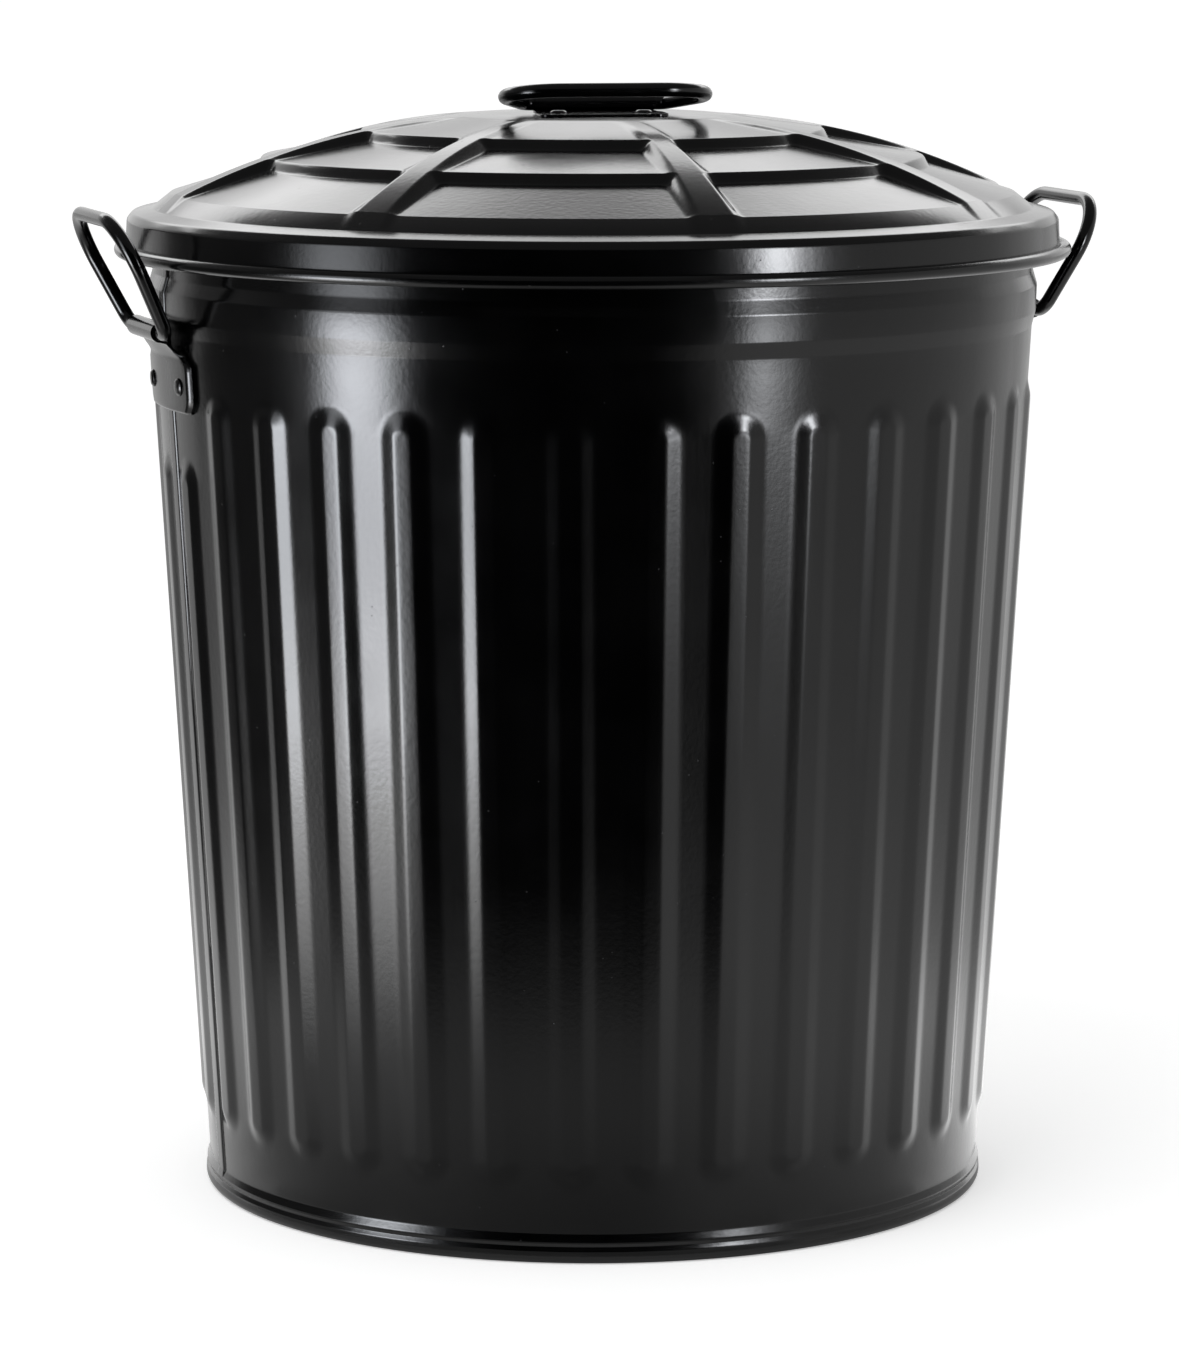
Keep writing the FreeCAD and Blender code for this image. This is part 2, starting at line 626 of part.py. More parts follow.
def make_handle_ear(side, bearing):
    """A riveted plate that stands off the wall and rolls up into a barrel."""
    body = new_body("handle_ear_" + side)
    low = D["ear_low"]
    high = D["ear_high"]
    steel = D["ear_steel"]
    standoff = D["ear_standoff"]
    outer = standoff + steel
    tray = [
        (wall(low) + 0.1, low), (wall(low) + outer, low),
        (wall(high) + outer, high), (wall(high) + 0.1, high),
    ]
    block = revolve(body, "Revolution", "block", outline(body, "tray_outline", tray),
                    D["ear_angle"])
    doc.recompute()
    fillet = body.newObject("PartDesign::Fillet", "low_corners")
    fillet.Base = (block, corner_edges(block.Shape, low.value))
    bind(fillet, "Radius", D["ear_corner"])
    body.Tip = fillet
    doc.recompute()
    chamfer = body.newObject("PartDesign::Chamfer", "shoulders")
    chamfer.Base = (fillet, corner_edges(fillet.Shape, high.value))
    bind(chamfer, "Size", D["ear_shoulder"])
    body.Tip = chamfer
    doc.recompute()
    tray = body.newObject("PartDesign::Thickness", "tray")
    tray.Base = (chamfer, [wall_face(chamfer.Shape)])
    tray.Reversed = True
    bind(tray, "Value", steel)
    body.Tip = tray
    doc.recompute()
    radius = D["hinge_radius"]
    height = D["hinge_height"]
    riser = [
        (radius - 7.7, height - 15.5), (radius - 5.7, height - 15.5),
        (radius - 4.9, height - 10.0), (radius - 2.4, height - 6.2),
        (radius + 0.6, height - 4.3), (radius + 0.2, height - 3.4),
        (radius - 3.2, height - 2.6), (radius - 4.6, height - 5.0),
        (radius - 6.6, height - 9.4), (radius - 7.7, height - 11.0),
    ]
    pad_both_ways(body, "riser", outline(body, "riser_outline", riser),
                  D["ear_barrel_length"])
    doc.recompute()
    pad_both_ways(body, "barrel",
                  barrel_rings(body, "barrel_outline", (radius, height), "XZ_Plane"),
                  D["ear_barrel_length"])
    doc.recompute()
    clear_bore(body, "barrel_bore", (radius, height), "XZ_Plane",
               D["ear_barrel_length"] + 2)
    doc.recompute()
    offset = D["ear_rivet_bearing"].value
    for i, way in enumerate((-1, 1)):
        rivet_height = D["ear_rivet_height"].value
        spot = radial_placement(90 + way * offset, wall(rivet_height).value - 3,
                                rivet_height)
        drill(body, "rivet_hole_%d" % i, D["rivet_radius"] + 0.06, as_size(12), spot)
    body.Placement = FreeCAD.Placement(
        FreeCAD.Vector(0, 0, 0), FreeCAD.Rotation(FreeCAD.Vector(0, 0, 1), bearing - 90))
    return body


def make_rivet(label, grip_length, placement):
    """A rivet with a domed head; its tail starts at the origin and its axis is +Z."""
    body = new_body(label)
    head = as_size(1.1) + grip_length
    radius = D["rivet_head_radius"]
    shank = D["rivet_radius"]
    side = [
        (0, 0), (radius - 0.7, 0), (radius - 0.2, 1.1), (shank, 1.1), (shank, head),
        (radius, head), (radius - 0.4, head + D["rivet_head_height"] * 0.45),
        (radius - 1.5, head + D["rivet_head_height"] * 0.85),
        (0, head + D["rivet_head_height"]),
    ]
    revolve(body, "Revolution", "rivet", outline(body, "rivet_outline", side))
    body.Placement = placement
    return body


def make_loop(label, placement, kind=""):
    """A rod bent into a loop: hinge bar along Y through the origin, grip up +Z."""
    body = new_body(label)
    path = new_sketch(body, "rod_path", "YZ_Plane")
    bend = D[kind + "bend_radius"].value
    corner = D[kind + "corner_radius"].value
    low = FreeCAD.Vector(D[kind + "bend_middle"].value, bend, 0)
    high = FreeCAD.Vector(D[kind + "corner_middle"].value, D["grip_reach"].value - corner, 0)
    apart = high - low
    tilt = math.atan2(apart.y, apart.x) + math.asin((bend - corner) / apart.Length)
    square = FreeCAD.Vector(math.sin(tilt), -math.cos(tilt), 0)
    turn = math.atan2(square.y, square.x)
    up = FreeCAD.Vector(0, 0, 1)
    start = FreeCAD.Vector(0.3, 0, 0)
    top = FreeCAD.Vector(0, D["grip_reach"].value, 0)
    below = FreeCAD.Vector(low.x, 0, 0)
    above = FreeCAD.Vector(high.x, top.y, 0)
    path.addGeometry(Part.LineSegment(start, below), False)
    path.addGeometry(Part.ArcOfCircle(Part.Circle(low, up, bend), -math.pi / 2, turn), False)
    path.addGeometry(Part.LineSegment(low + square * bend, high + square * corner), False)
    path.addGeometry(Part.ArcOfCircle(Part.Circle(high, up, corner), turn, math.pi / 2), False)
    path.addGeometry(Part.LineSegment(above, top), False)
    joins = ((0, 2, 1, 1), (1, 2, 2, 1), (2, 2, 3, 1), (3, 2, 4, 1))
    for first, end, second, begin in joins:
        path.addConstraint(Sketcher.Constraint("Tangent", first, end, second, begin))
    for straight in (0, 4):
        path.addConstraint(Sketcher.Constraint("Horizontal", straight))
    pin_point(path, 0, 1, x=0.3, y=0)
    pin_point(path, 1, 3, x=D[kind + "bend_middle"], y=D[kind + "bend_radius"])
    pin_point(path, 3, 3, x=D[kind + "corner_middle"],
              y=D["grip_reach"] - D[kind + "corner_radius"])
    pin_point(path, 4, 2, x=0, y=D["grip_reach"])
    section = rings(body, "rod_section", (0, 0), (D["rod_radius"],), "XZ_Plane")
    section.AttachmentOffset = FreeCAD.Placement(
        FreeCAD.Vector(0, 0, -0.3), FreeCAD.Rotation())
    pipe = body.newObject("PartDesign::AdditivePipe", "half_loop")
    pipe.Profile = section
    pipe.Spine = (path, ["Edge%d" % i for i in range(1, 6)])
    doc.recompute()
    other = body.newObject("PartDesign::Mirrored", "other_half")
    other.Originals = [pipe]
    other.MirrorPlane = (origin_part(body, "XZ_Plane"), [""])
    body.Tip = other
    body.Placement = placement
    return body


def side_handle_placement(bearing):
    """A side handle stands on its hinge and leans out."""
    turn = FreeCAD.Rotation(FreeCAD.Vector(0, 0, 1), bearing - 90)
    lean = FreeCAD.Rotation(FreeCAD.Vector(0, 1, 0), D["handle_lean"].value)
    spot = turn.multVec(FreeCAD.Vector(D["hinge_radius"].value, 0, D["hinge_height"].value))
    return FreeCAD.Placement(spot, turn.multiply(lean))


def turned_placement(turn, spot=FreeCAD.Vector(0, 0, 0), rotation=FreeCAD.Rotation()):
    """Put a piece of the lid in its place and then turn it about the can's middle."""
    about = FreeCAD.Rotation(FreeCAD.Vector(0, 0, 1), turn.value)
    return FreeCAD.Placement(FreeCAD.Vector(0, 0, 0), about).multiply(
        FreeCAD.Placement(spot, rotation))


def make_lid_handle_clip():
    """A plate riveted on the crown, whose back edge rises and rolls round the hinge bar."""
    body = new_body("lid_handle_clip")
    steel = D["ear_steel"]
    floor = D["crown_height"] + 0.02
    back = D["clip_hinge_offset"] + 10
    front = D["clip_front"]
    wide = D["clip_half_width"]
    plate = outline(body, "plate_outline", [
        (0, floor), (wide, floor), (wide, floor + steel), (0, floor + steel)])
    plate.AttachmentOffset = FreeCAD.Placement(
        FreeCAD.Vector(0, 0, back.value), FreeCAD.Rotation())
    bind(plate, "AttachmentOffset.Base.z", back)
    pad = body.newObject("PartDesign::Pad", "half_plate")
    pad.Profile = plate
    bind(pad, "Length", front - back)
    doc.recompute()
    other = body.newObject("PartDesign::Mirrored", "other_half_plate")
    other.Originals = [pad]
    other.MirrorPlane = (origin_part(body, "YZ_Plane"), [""])
    body.Tip = other
    doc.recompute()
    hinge = D["clip_hinge_offset"]
    height = D["clip_hinge_height"]
    riser = outline(body, "riser_outline", [
        (hinge + 13, floor + 0.1), (hinge + 13, floor + steel),
        (hinge + 9.0, floor + steel + 0.4), (hinge + 4.3, height - 0.8),
        (hinge + 3.4, height - 1.2), (hinge + 3.0, height - 3.0),
        (hinge + 8.0, floor + 0.1)], "YZ_Plane")
    flip = FreeCAD.Rotation(FreeCAD.Vector(0, 1, 0), 180)
    riser.AttachmentOffset = FreeCAD.Placement(FreeCAD.Vector(0, 0, 0), flip)
    pad_both_ways(body, "riser", riser, D["clip_barrel_length"])
    doc.recompute()
    barrel = barrel_rings(body, "barrel_outline", (hinge, height), "YZ_Plane")
    barrel.AttachmentOffset = FreeCAD.Placement(FreeCAD.Vector(0, 0, 0), flip)
    pad_both_ways(body, "barrel", barrel, D["clip_barrel_length"])
    doc.recompute()
    bore = clear_bore(body, "barrel_bore", (hinge, height), "YZ_Plane",
                      D["clip_barrel_length"] + 2)
    bore.Profile[0].AttachmentOffset = FreeCAD.Placement(FreeCAD.Vector(0, 0, 0), flip)
    doc.recompute()
    for side in (-1, 1):
        spot = clip_rivet_spot(side, floor.value - 2)
        drill(body, "clip_hole_%d" % (side + 1), D["rivet_radius"] + 0.06, as_size(6),
              FreeCAD.Placement(spot, FreeCAD.Rotation()))
    body.Placement = turned_placement(D["clip_turn"])
    return body


def make_can():
    pieces = [make_body_shell(), make_rim_wire(), make_base_pan()]
    for side, bearing in (("left", -90), ("right", 90)):
        pieces.append(make_handle_ear(side, bearing))
        pieces.append(make_loop("handle_" + side, side_handle_placement(bearing)))
    names = ["left_front", "left_rear", "right_rear", "right_front"]
    height = D["ear_rivet_height"].value
    grip = STEEL + D["ear_standoff"] + D["ear_steel"] + 0.1
    tail = wall(height).value - STEEL.value - 1.16
    for name, bearing in zip(names, ear_rivet_bearings()):
        spot = radial_placement(bearing, tail, height)
        pieces.append(make_rivet("ear_rivet_" + name, grip, spot))
    return pieces


def make_lid():
    shell = make_lid_shell()
    shell.Placement = turned_placement(D["lid_turn"])
    pieces = [shell, make_lid_rim_wire(), make_lid_handle_clip()]
    turn = D["clip_turn"]
    hinge = FreeCAD.Vector(0, -D["clip_hinge_offset"].value, D["clip_hinge_height"].value)
    resting = turned_placement(turn, hinge, lie_forward())
    pieces.append(make_loop("lid_handle", resting, "lid_"))
    grip = STEEL + D["ear_steel"] + 0.08
    for name, side in (("left", -1), ("right", 1)):
        spot = clip_rivet_spot(side, D["crown_height"].value - STEEL.value - 1.13)
        pieces.append(make_rivet("lid_rivet_" + name, grip, turned_placement(turn, spot)))
    return pieces


def lie_forward():
    """Turns a loop's hinge bar from Y to X and lays its grip from +Z forward, over -Y."""
    quarter = FreeCAD.Rotation(FreeCAD.Vector(0, 0, 1), 90)
    tip = FreeCAD.Rotation(FreeCAD.Vector(1, 0, 0), 90 - D["lid_handle_rise"].value)
    return tip.multiply(quarter)


def check(piece):
    """Stop if a piece is missing, broken or not one closed solid."""
    for item in piece.Group + [piece]:
        if "Invalid" in item.State or "Error" in item.State:
            raise RuntimeError("%s in %s: %s" % (item.Name, piece.Label, item.State))
    if piece.Shape.isNull() or not piece.Shape.isValid():
        raise RuntimeError("%s has no valid shape" % piece.Label)
    if len(piece.Shape.Solids) != 1:
        raise RuntimeError("%s is %d solids" % (piece.Label, len(piece.Shape.Solids)))


pieces = make_can() + make_lid()
doc.recompute()
for piece in pieces:
    check(piece)
os.makedirs("parts", exist_ok=True)
for piece in pieces:
    piece.Shape.exportStep("parts/%s.step" % piece.Label)
    box = piece.Shape.BoundBox
    print("%-24s volume %9.0f  x %.1f..%.1f  y %.1f..%.1f  z %.1f..%.1f" % (
        piece.Label, piece.Shape.Volume, box.XMin, box.XMax, box.YMin, box.YMax,
        box.ZMin, box.ZMax))
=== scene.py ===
import math

import bpy
import numpy as np
from mathutils import Matrix, Vector


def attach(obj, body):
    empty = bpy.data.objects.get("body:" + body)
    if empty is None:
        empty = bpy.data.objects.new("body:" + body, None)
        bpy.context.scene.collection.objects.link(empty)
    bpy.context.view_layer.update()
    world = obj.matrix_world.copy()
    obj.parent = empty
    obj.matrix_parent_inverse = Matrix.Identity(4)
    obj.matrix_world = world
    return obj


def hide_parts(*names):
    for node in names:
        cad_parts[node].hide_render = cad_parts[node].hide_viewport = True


# A glossy black steel trash can with a stepped, domed lid. Shapes are worked out in
# millimetres and stored in metres. Bearings are degrees about +Z, from -Y towards +X.
# The two stiffening wires and the bottom pan are the frame's own meshes.

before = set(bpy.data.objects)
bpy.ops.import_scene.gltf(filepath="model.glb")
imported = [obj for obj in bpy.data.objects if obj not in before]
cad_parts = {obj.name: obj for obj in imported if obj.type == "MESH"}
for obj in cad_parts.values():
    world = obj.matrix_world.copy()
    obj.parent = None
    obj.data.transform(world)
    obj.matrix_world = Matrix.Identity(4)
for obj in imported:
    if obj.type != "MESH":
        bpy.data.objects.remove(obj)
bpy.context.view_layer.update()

MM = 0.001
PHOTO_BEARING = -18.4  # where the photo's camera stands
LID_TURN = -25.2       # the middle of one of the lid's sectors
CLIP_TURN = -9.4       # the lid handle's clip


# ---------------------------------------------------------------- mesh helpers

def build_mesh(name, points, faces, material, body, nodes, smooth):
    """A mesh object from points in millimetres, riding on a body in place of frame nodes."""
    mesh = bpy.data.meshes.new(name)
    mesh.from_pydata([tuple(p) for p in np.asarray(points) * MM], [], faces)
    mesh.materials.append(material)
    mesh.validate()
    piece = bpy.data.objects.new(name, mesh)
    bpy.context.scene.collection.objects.link(piece)
    mesh.polygons.foreach_set("use_smooth", [True] * len(mesh.polygons))
    mesh.set_sharp_from_angle(angle=math.radians(smooth))
    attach(piece, body)
    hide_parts(*nodes)
    return piece


def ring_faces(rows, columns, close_rows, close_columns):
    """Quads of a grid whose points are stored row by row."""
    faces = []
    for r in range(rows if close_rows else rows - 1):
        r2 = (r + 1) % rows
        for c in range(columns if close_columns else columns - 1):
            c2 = (c + 1) % columns
            faces.append((r * columns + c, r * columns + c2,
                          r2 * columns + c2, r2 * columns + c))
    return faces


def capped_faces(rows, around):
    """Faces of a run of rings, with both ends closed."""
    faces = ring_faces(rows, around, False, True)
    last = (rows - 1) * around
    faces.append(tuple(range(around))[::-1])
    faces.append(tuple(last + a for a in range(around)))
    return faces


def moved(points, place):
    matrix = np.array(place)
    return np.array(points) @ matrix[:3, :3].T + matrix[:3, 3]


def divided(line, step):
    """A line with points added, so that they stand about a step apart."""
    dense = [line[0]]
    for spot in line[1:]:
        base = dense[-1]
        count = max(1, int(np.linalg.norm(spot - base) / step))
        for k in range(1, count + 1):
            dense.append(base + (spot - base) * k / count)
    return np.array(dense)


def filleted(corners, step=12.0):
    """A line of points through corners (x, y, radius), rounded where a radius is given."""
    line = []
    last = len(corners) - 1
    for i, (x, y, radius) in enumerate(corners):
        spot = np.array([x, y], float)
        if radius <= 0 or i in (0, last):
            line.append(spot)
            continue
        back = np.array(corners[i - 1][:2], float) - spot
        ahead = np.array(corners[i + 1][:2], float) - spot
        u = back / np.linalg.norm(back)
        v = ahead / np.linalg.norm(ahead)
        opening = math.acos(max(-1.0, min(1.0, float(u @ v))))
        if opening > math.radians(179):
            line.append(spot)
            continue
        reach = radius / math.tan(opening / 2)
        middle = spot + (u + v) / np.linalg.norm(u + v) * (radius / math.sin(opening / 2))
        first = spot + u * reach - middle
        second = spot + v * reach - middle
        a = math.atan2(first[1], first[0])
        turn = (math.atan2(second[1], second[0]) - a + math.pi) % (2 * math.pi) - math.pi
        count = max(2, int(math.ceil(abs(math.degrees(turn)) / step)))
        for k in range(count + 1):
            b = a + turn * k / count
            line.append(middle + radius * np.array([math.cos(b), math.sin(b)]))
    return np.array(line)


def arc(centre, radius, first, last, step=12.0):
    """Points of an arc between two angles in degrees, ends included."""
    count = max(2, int(math.ceil(abs(last - first) / step)))
    angles = np.radians(np.linspace(first, last, count + 1))
    return np.stack([centre[0] + radius * np.cos(angles),
                     centre[1] + radius * np.sin(angles)], axis=1)


def line_normals(line):
    """Unit normals of an open line of points, to the left of its direction."""
    ahead = np.gradient(line, axis=0)
    ahead /= np.linalg.norm(ahead, axis=1)[:, None]
    return np.stack([-ahead[:, 1], ahead[:, 0]], axis=1)


def corner_inset(depth, radius, deepest):
    """How far a rounded corner draws an edge in, at a depth into the corner."""
    return radius - math.sqrt(radius ** 2 - min(depth, deepest) ** 2)


def smooth_min(a, b, blend):
    gap = np.maximum(blend - np.abs(a - b), 0.0)
    return np.minimum(a, b) - gap * gap / (4 * blend)


def smooth_max(a, b, blend):
    return -smooth_min(-a, -b, blend)


def smooth_step(low, high, x):
    t = np.clip((x - low) / (high - low), 0.0, 1.0)
    return t * t * (3 - 2 * t)


# ---------------------------------------------------------------- materials

def node(tree, kind, **inputs):
    """A shader node with its input values set by name."""
    made = tree.nodes.new(kind)
    for key, value in inputs.items():
        made.inputs[key.replace("_", " ")].default_value = value
    return made


def map_range(tree, source, to_low, to_high, low=0.0, high=1.0):
    """A linear change of a value's range; returns the new value."""
    made = node(tree, "ShaderNodeMapRange")
    for key, value in (("From Min", low), ("From Max", high), ("To Min", to_low),
                       ("To Max", to_high)):
        made.inputs[key].default_value = value
    tree.links.new(source, made.inputs["Value"])
    return made.outputs["Result"]


def combine(tree, operation, first, second):
    """A Math node over an output and either another output or a number."""
    made = node(tree, "ShaderNodeMath")
    made.operation = operation
    tree.links.new(first, made.inputs[0])
    if isinstance(second, float):
        made.inputs[1].default_value = second
    else:
        tree.links.new(second, made.inputs[1])
    return made.outputs["Value"]


def two_colours(tree, source, low, high):
    """A colour ramp between two (position, colour) pairs; returns the colour."""
    ramp = tree.nodes.new("ShaderNodeValToRGB")
    for element, (position, colour) in zip(ramp.color_ramp.elements, (low, high)):
        element.position = position
        element.color = (*colour, 1)
    tree.links.new(source, ramp.inputs["Fac"])
    return ramp.outputs["Color"]


def paint_material(name, roughness=0.165, peel=0.10, grain=1.0):
    """Deep black gloss enamel: orange peel, fine dust specks and an uneven gloss."""
    material = bpy.data.materials.new(name)
    material.use_nodes = True
    tree = material.node_tree
    links = tree.links
    shader = tree.nodes["Principled BSDF"]
    shader.inputs["IOR"].default_value = 1.5
    place = tree.nodes.new("ShaderNodeTexCoord")

    cloud = node(tree, "ShaderNodeTexNoise", Scale=22.0 * grain, Detail=3.0, Roughness=0.6)
    links.new(place.outputs["Object"], cloud.inputs["Vector"])
    gloss = map_range(tree, cloud.outputs["Fac"], roughness - 0.025, roughness + 0.03, 0.3, 0.7)
    links.new(gloss, shader.inputs["Roughness"])
    tint = two_colours(tree, cloud.outputs["Fac"], (0.35, (0.0004, 0.0004, 0.0005)),
                       (0.75, (0.0009, 0.0009, 0.0011)))

    specks = node(tree, "ShaderNodeTexVoronoi", Scale=260.0 * grain, Randomness=1.0)
    links.new(place.outputs["Object"], specks.inputs["Vector"])
    dot = map_range(tree, specks.outputs["Distance"], 1.0, 0.0, 0.055, 0.10)
    split = tree.nodes.new("ShaderNodeSeparateColor")
    links.new(specks.outputs["Color"], split.inputs["Color"])
    rare = combine(tree, "GREATER_THAN", split.outputs["Red"], 0.93)
    speck = combine(tree, "MULTIPLY", dot, rare)
    dusty = tree.nodes.new("ShaderNodeMix")
    dusty.data_type = "RGBA"
    dusty.inputs["B"].default_value = (0.02, 0.02, 0.021, 1)
    links.new(speck, dusty.inputs["Factor"])
    links.new(tint, dusty.inputs["A"])
    links.new(dusty.outputs["Result"], shader.inputs["Base Color"])

    wide = node(tree, "ShaderNodeTexNoise", Scale=420.0 * grain, Detail=2.0, Roughness=0.55)
    links.new(place.outputs["Object"], wide.inputs["Vector"])
    orange = node(tree, "ShaderNodeBump", Strength=peel, Distance=0.00035)
    links.new(wide.outputs["Fac"], orange.inputs["Height"])
    raised = node(tree, "ShaderNodeBump", Strength=0.25, Distance=0.0003)
    links.new(speck, raised.inputs["Height"])
    links.new(orange.outputs["Normal"], raised.inputs["Normal"])
    links.new(raised.outputs["Normal"], shader.inputs["Normal"])
    return material


def wire_material(name):
    """Bare drawn steel wire with a little rust bloom."""
    material = bpy.data.materials.new(name)
    material.use_nodes = True
    tree = material.node_tree
    links = tree.links
    shader = tree.nodes["Principled BSDF"]
    shader.inputs["Metallic"].default_value = 1.0
    place = tree.nodes.new("ShaderNodeTexCoord")
    cloud = node(tree, "ShaderNodeTexNoise", Scale=90.0, Detail=5.0, Roughness=0.65)
    links.new(place.outputs["Object"], cloud.inputs["Vector"])
    tint = two_colours(tree, cloud.outputs["Fac"], (0.35, (0.42, 0.41, 0.40)),
                       (0.72, (0.24, 0.17, 0.12)))
    links.new(tint, shader.inputs["Base Color"])
    links.new(map_range(tree, cloud.outputs["Fac"], 0.3, 0.6), shader.inputs["Roughness"])
    return material


PAINT = paint_material("black_enamel")
ROD_PAINT = paint_material("black_enamel_rod", roughness=0.15, peel=0.06, grain=1.6)
WIRE = wire_material("drawn_wire")


# ---------------------------------------------------------------- the can's wall

STEEL = 0.8
WALL_FOOT = 176.3
WALL_SLOPE = 0.0568
FLUTES = 34
PITCH = 360.0 / FLUTES
SHORT_FLUTES = (8, 9, 25, 26)
SEAM_FLUTE = 25  # the lock seam runs halfway between this flute and the next
SEAM_BEARING = -90.0
SEAM_HEIGHT = 0.75
FLUTE_LOW = 34.0
FLUTE_HIGH = 370.0
SHORT_HIGH = 338.0
FLUTE_HEIGHT = 1.8
FLUTE_HALF = 11.0
CREST_HALF = 4.0


def wall_radius(z):
    return WALL_FOOT + WALL_SLOPE * z


def can_profile():
    """The middle of the can's sheet from the foot's inner leaf up to the end of the rim."""
    half = STEEL / 2
    foot = arc((175.3, 3.35), 3.1, 180, 352)
    leaf = np.array([[172.25, 6.3], [172.2, 5.0]])
    side = filleted([
        (178.37, 3.4, 0), (178.25, 5.6, 1.2), (177.35, 7.5, 0.8), (178.1, 9.3, 1.6),
        (wall_radius(12.8) - half, 12.8, 3.0), (wall_radius(393.2) - half, 393.2, 5.0),
        (200.35 - half, 400.2, 3.2), (200.75 - half, 411.7, 3.2),
        (198.9 - half, 418.0, 4.5), (198.9 - half, 440.2, 0)], step=9.0)
    rim = arc((201.6, 440.4), 3.1, 180, -140)
    line = np.concatenate([leaf, foot, side, rim])
    keep = [0]
    for i in range(1, len(line)):
        if np.linalg.norm(line[i] - line[keep[-1]]) > 0.12:
            keep.append(i)
    line = line[keep]
    heights = np.concatenate([
        np.arange(16, 34, 3.0), np.arange(34, 47, 0.9), np.arange(48, 322, 12.0),
        np.arange(324, 341, 1.1), np.arange(343, 356, 3.0), np.arange(356, 372, 0.9),
        np.arange(374, 390, 4.0)])
    middle = np.stack([wall_radius(heights) - half, heights], axis=1)
    low = [p for p in line if p[1] < 15.9 or p[0] < 176.0 and p[1] < 30]
    high = [p for p in line if p[1] > 389.5]
    return np.concatenate([np.array(low), middle, np.array(high)])


def column_offsets():
    """The wall's columns as (flute, mm aside, half pitches past the flute's middle)."""
    steps = [0, 1.6, 3.0, 3.5, 4.0, 4.5, 5.1, 6.2, 7.6, 8.9, 9.6, 10.2, 10.8, 11.5, 13.0]
    columns = []
    for flute in range(FLUTES):
        for offset in [-s for s in steps[:0:-1]] + steps:
            columns.append((flute, offset, 0.0))
        if flute == SEAM_FLUTE:
            for share in (-5.4, -4.9, -4.5, -4.1, -2.5, -1.0, 1.0, 2.5, 4.1, 4.5, 4.9, 5.4):
                columns.append((flute, share, 1.0))
        else:
            columns.append((flute, 0.0, 1.0))
    return columns


def flute_top(flute):
    return SHORT_HIGH if flute in SHORT_FLUTES else FLUTE_HIGH


def flute_rise(across, z, top):
    """How far a flute stands out at a distance from its middle and a height."""
    low = FLUTE_LOW + FLUTE_HALF
    high = top - FLUTE_HALF
    beyond = np.maximum(np.maximum(low - z, z - high), 0.0)
    reach = np.hypot(across, beyond)
    slope = FLUTE_HEIGHT / (FLUTE_HALF - CREST_HALF)
    ramp = (FLUTE_HALF - reach) * slope
    return smooth_max(smooth_min(ramp, FLUTE_HEIGHT, 0.30), 0.0, 0.55)


def can_wall():
    """The whole wall as one closed sheet, with its flutes and its lock seam."""
    line = can_profile()
    normals = line_normals(line)
    outside = line - normals * (STEEL / 2)
    inside = line + normals * (STEEL / 2)
    tip = line[-1] + (line[-1] - line[-2]) / np.linalg.norm(line[-1] - line[-2]) * 0.3
    toe = line[0] + (line[0] - line[1]) / np.linalg.norm(line[0] - line[1]) * 0.3
    loop = np.concatenate([outside, [tip], inside[::-1], [toe]])
    outer = np.concatenate([np.ones(len(outside)), [0.5], np.zeros(len(inside)), [0.5]])
    columns = column_offsets()
    flute = np.array([c[0] for c in columns], float)
    offset = np.array([c[1] for c in columns], float)
    middle = np.array([c[2] for c in columns], float)
    tops = np.array([flute_top(int(f)) for f in flute])
    points = np.zeros((len(loop), len(columns), 3))
    tilt = math.atan(WALL_SLOPE)
    for row, (radius, z) in enumerate(loop):
        per_degree = radius * math.pi / 180
        bearing = flute * PITCH + middle * PITCH / 2 + offset / per_degree
        nearest = np.where(middle > 0, radius * math.radians(PITCH / 2) - np.abs(offset),
                           np.abs(offset))
        rise = np.where((z > 30) & (z < 375), flute_rise(nearest, z, tops), 0.0)
        seam = np.abs(((bearing - SEAM_BEARING + 180) % 360 - 180) * per_degree)
        band = smooth_step(4.95, 4.3, seam) if z < 441 else 0.0
        fade = smooth_step(9.0, 13.0, z) * smooth_step(440.5, 436.0, z)
        rise = rise + SEAM_HEIGHT * band * fade * outer[row]
        out = radius + rise * math.cos(tilt)
        angle = np.radians(bearing)
        points[row, :, 0] = out * np.sin(angle)
        points[row, :, 1] = -out * np.cos(angle)
        points[row, :, 2] = z - rise * math.sin(tilt)
    faces = ring_faces(len(loop), len(columns), True, True)
    return build_mesh("can_wall", points.reshape(-1, 3), faces, PAINT, "can",
                      ["body_shell"], smooth=50)


# ---------------------------------------------------------------- the lid

SPOKES = 8
SPOKE_ANGLE = 4.4
CROWN = 487.3
CROWN_RADIUS = 40.0
DOME_RADIUS = 353.5


def dome(radius):
    beyond = np.maximum(radius - CROWN_RADIUS, 0.0)
    return CROWN - DOME_RADIUS + np.sqrt(DOME_RADIUS ** 2 - beyond ** 2)


# Each tread: where its riser starts, how far that runs, and the tread's two ends as
# (radius, height); the first tread starts on the dome.
TREADS = ((58.0, 6.0, (60.0, None), (104.5, 480.6)),
          (103.6, 3.6, (106.0, 476.4), (149.5, 468.6)),
          (148.6, 3.6, (151.0, 464.4), (190.6, 452.35)))
TREADS_END = 191.0
SIDE_RUN = 5.6  # how far a spoke's side wall runs, in mm
CORNER = 1.5    # rounding of the treads' inner corners, in wall widths
BEAD_CENTRE = (213.05, 427.4)
BEAD_RADIUS = 3.0
BEAD_TURN = 320


def rounded_share(across, along):
    """How far inside a corner a spot lies, in wall widths, with the corner rounded."""
    near = CORNER - np.hypot(np.maximum(CORNER - across, 0.0), np.maximum(CORNER - along, 0.0))
    inside = (across < CORNER) & (along < CORNER)
    return np.where(inside, near, np.minimum(across, along))


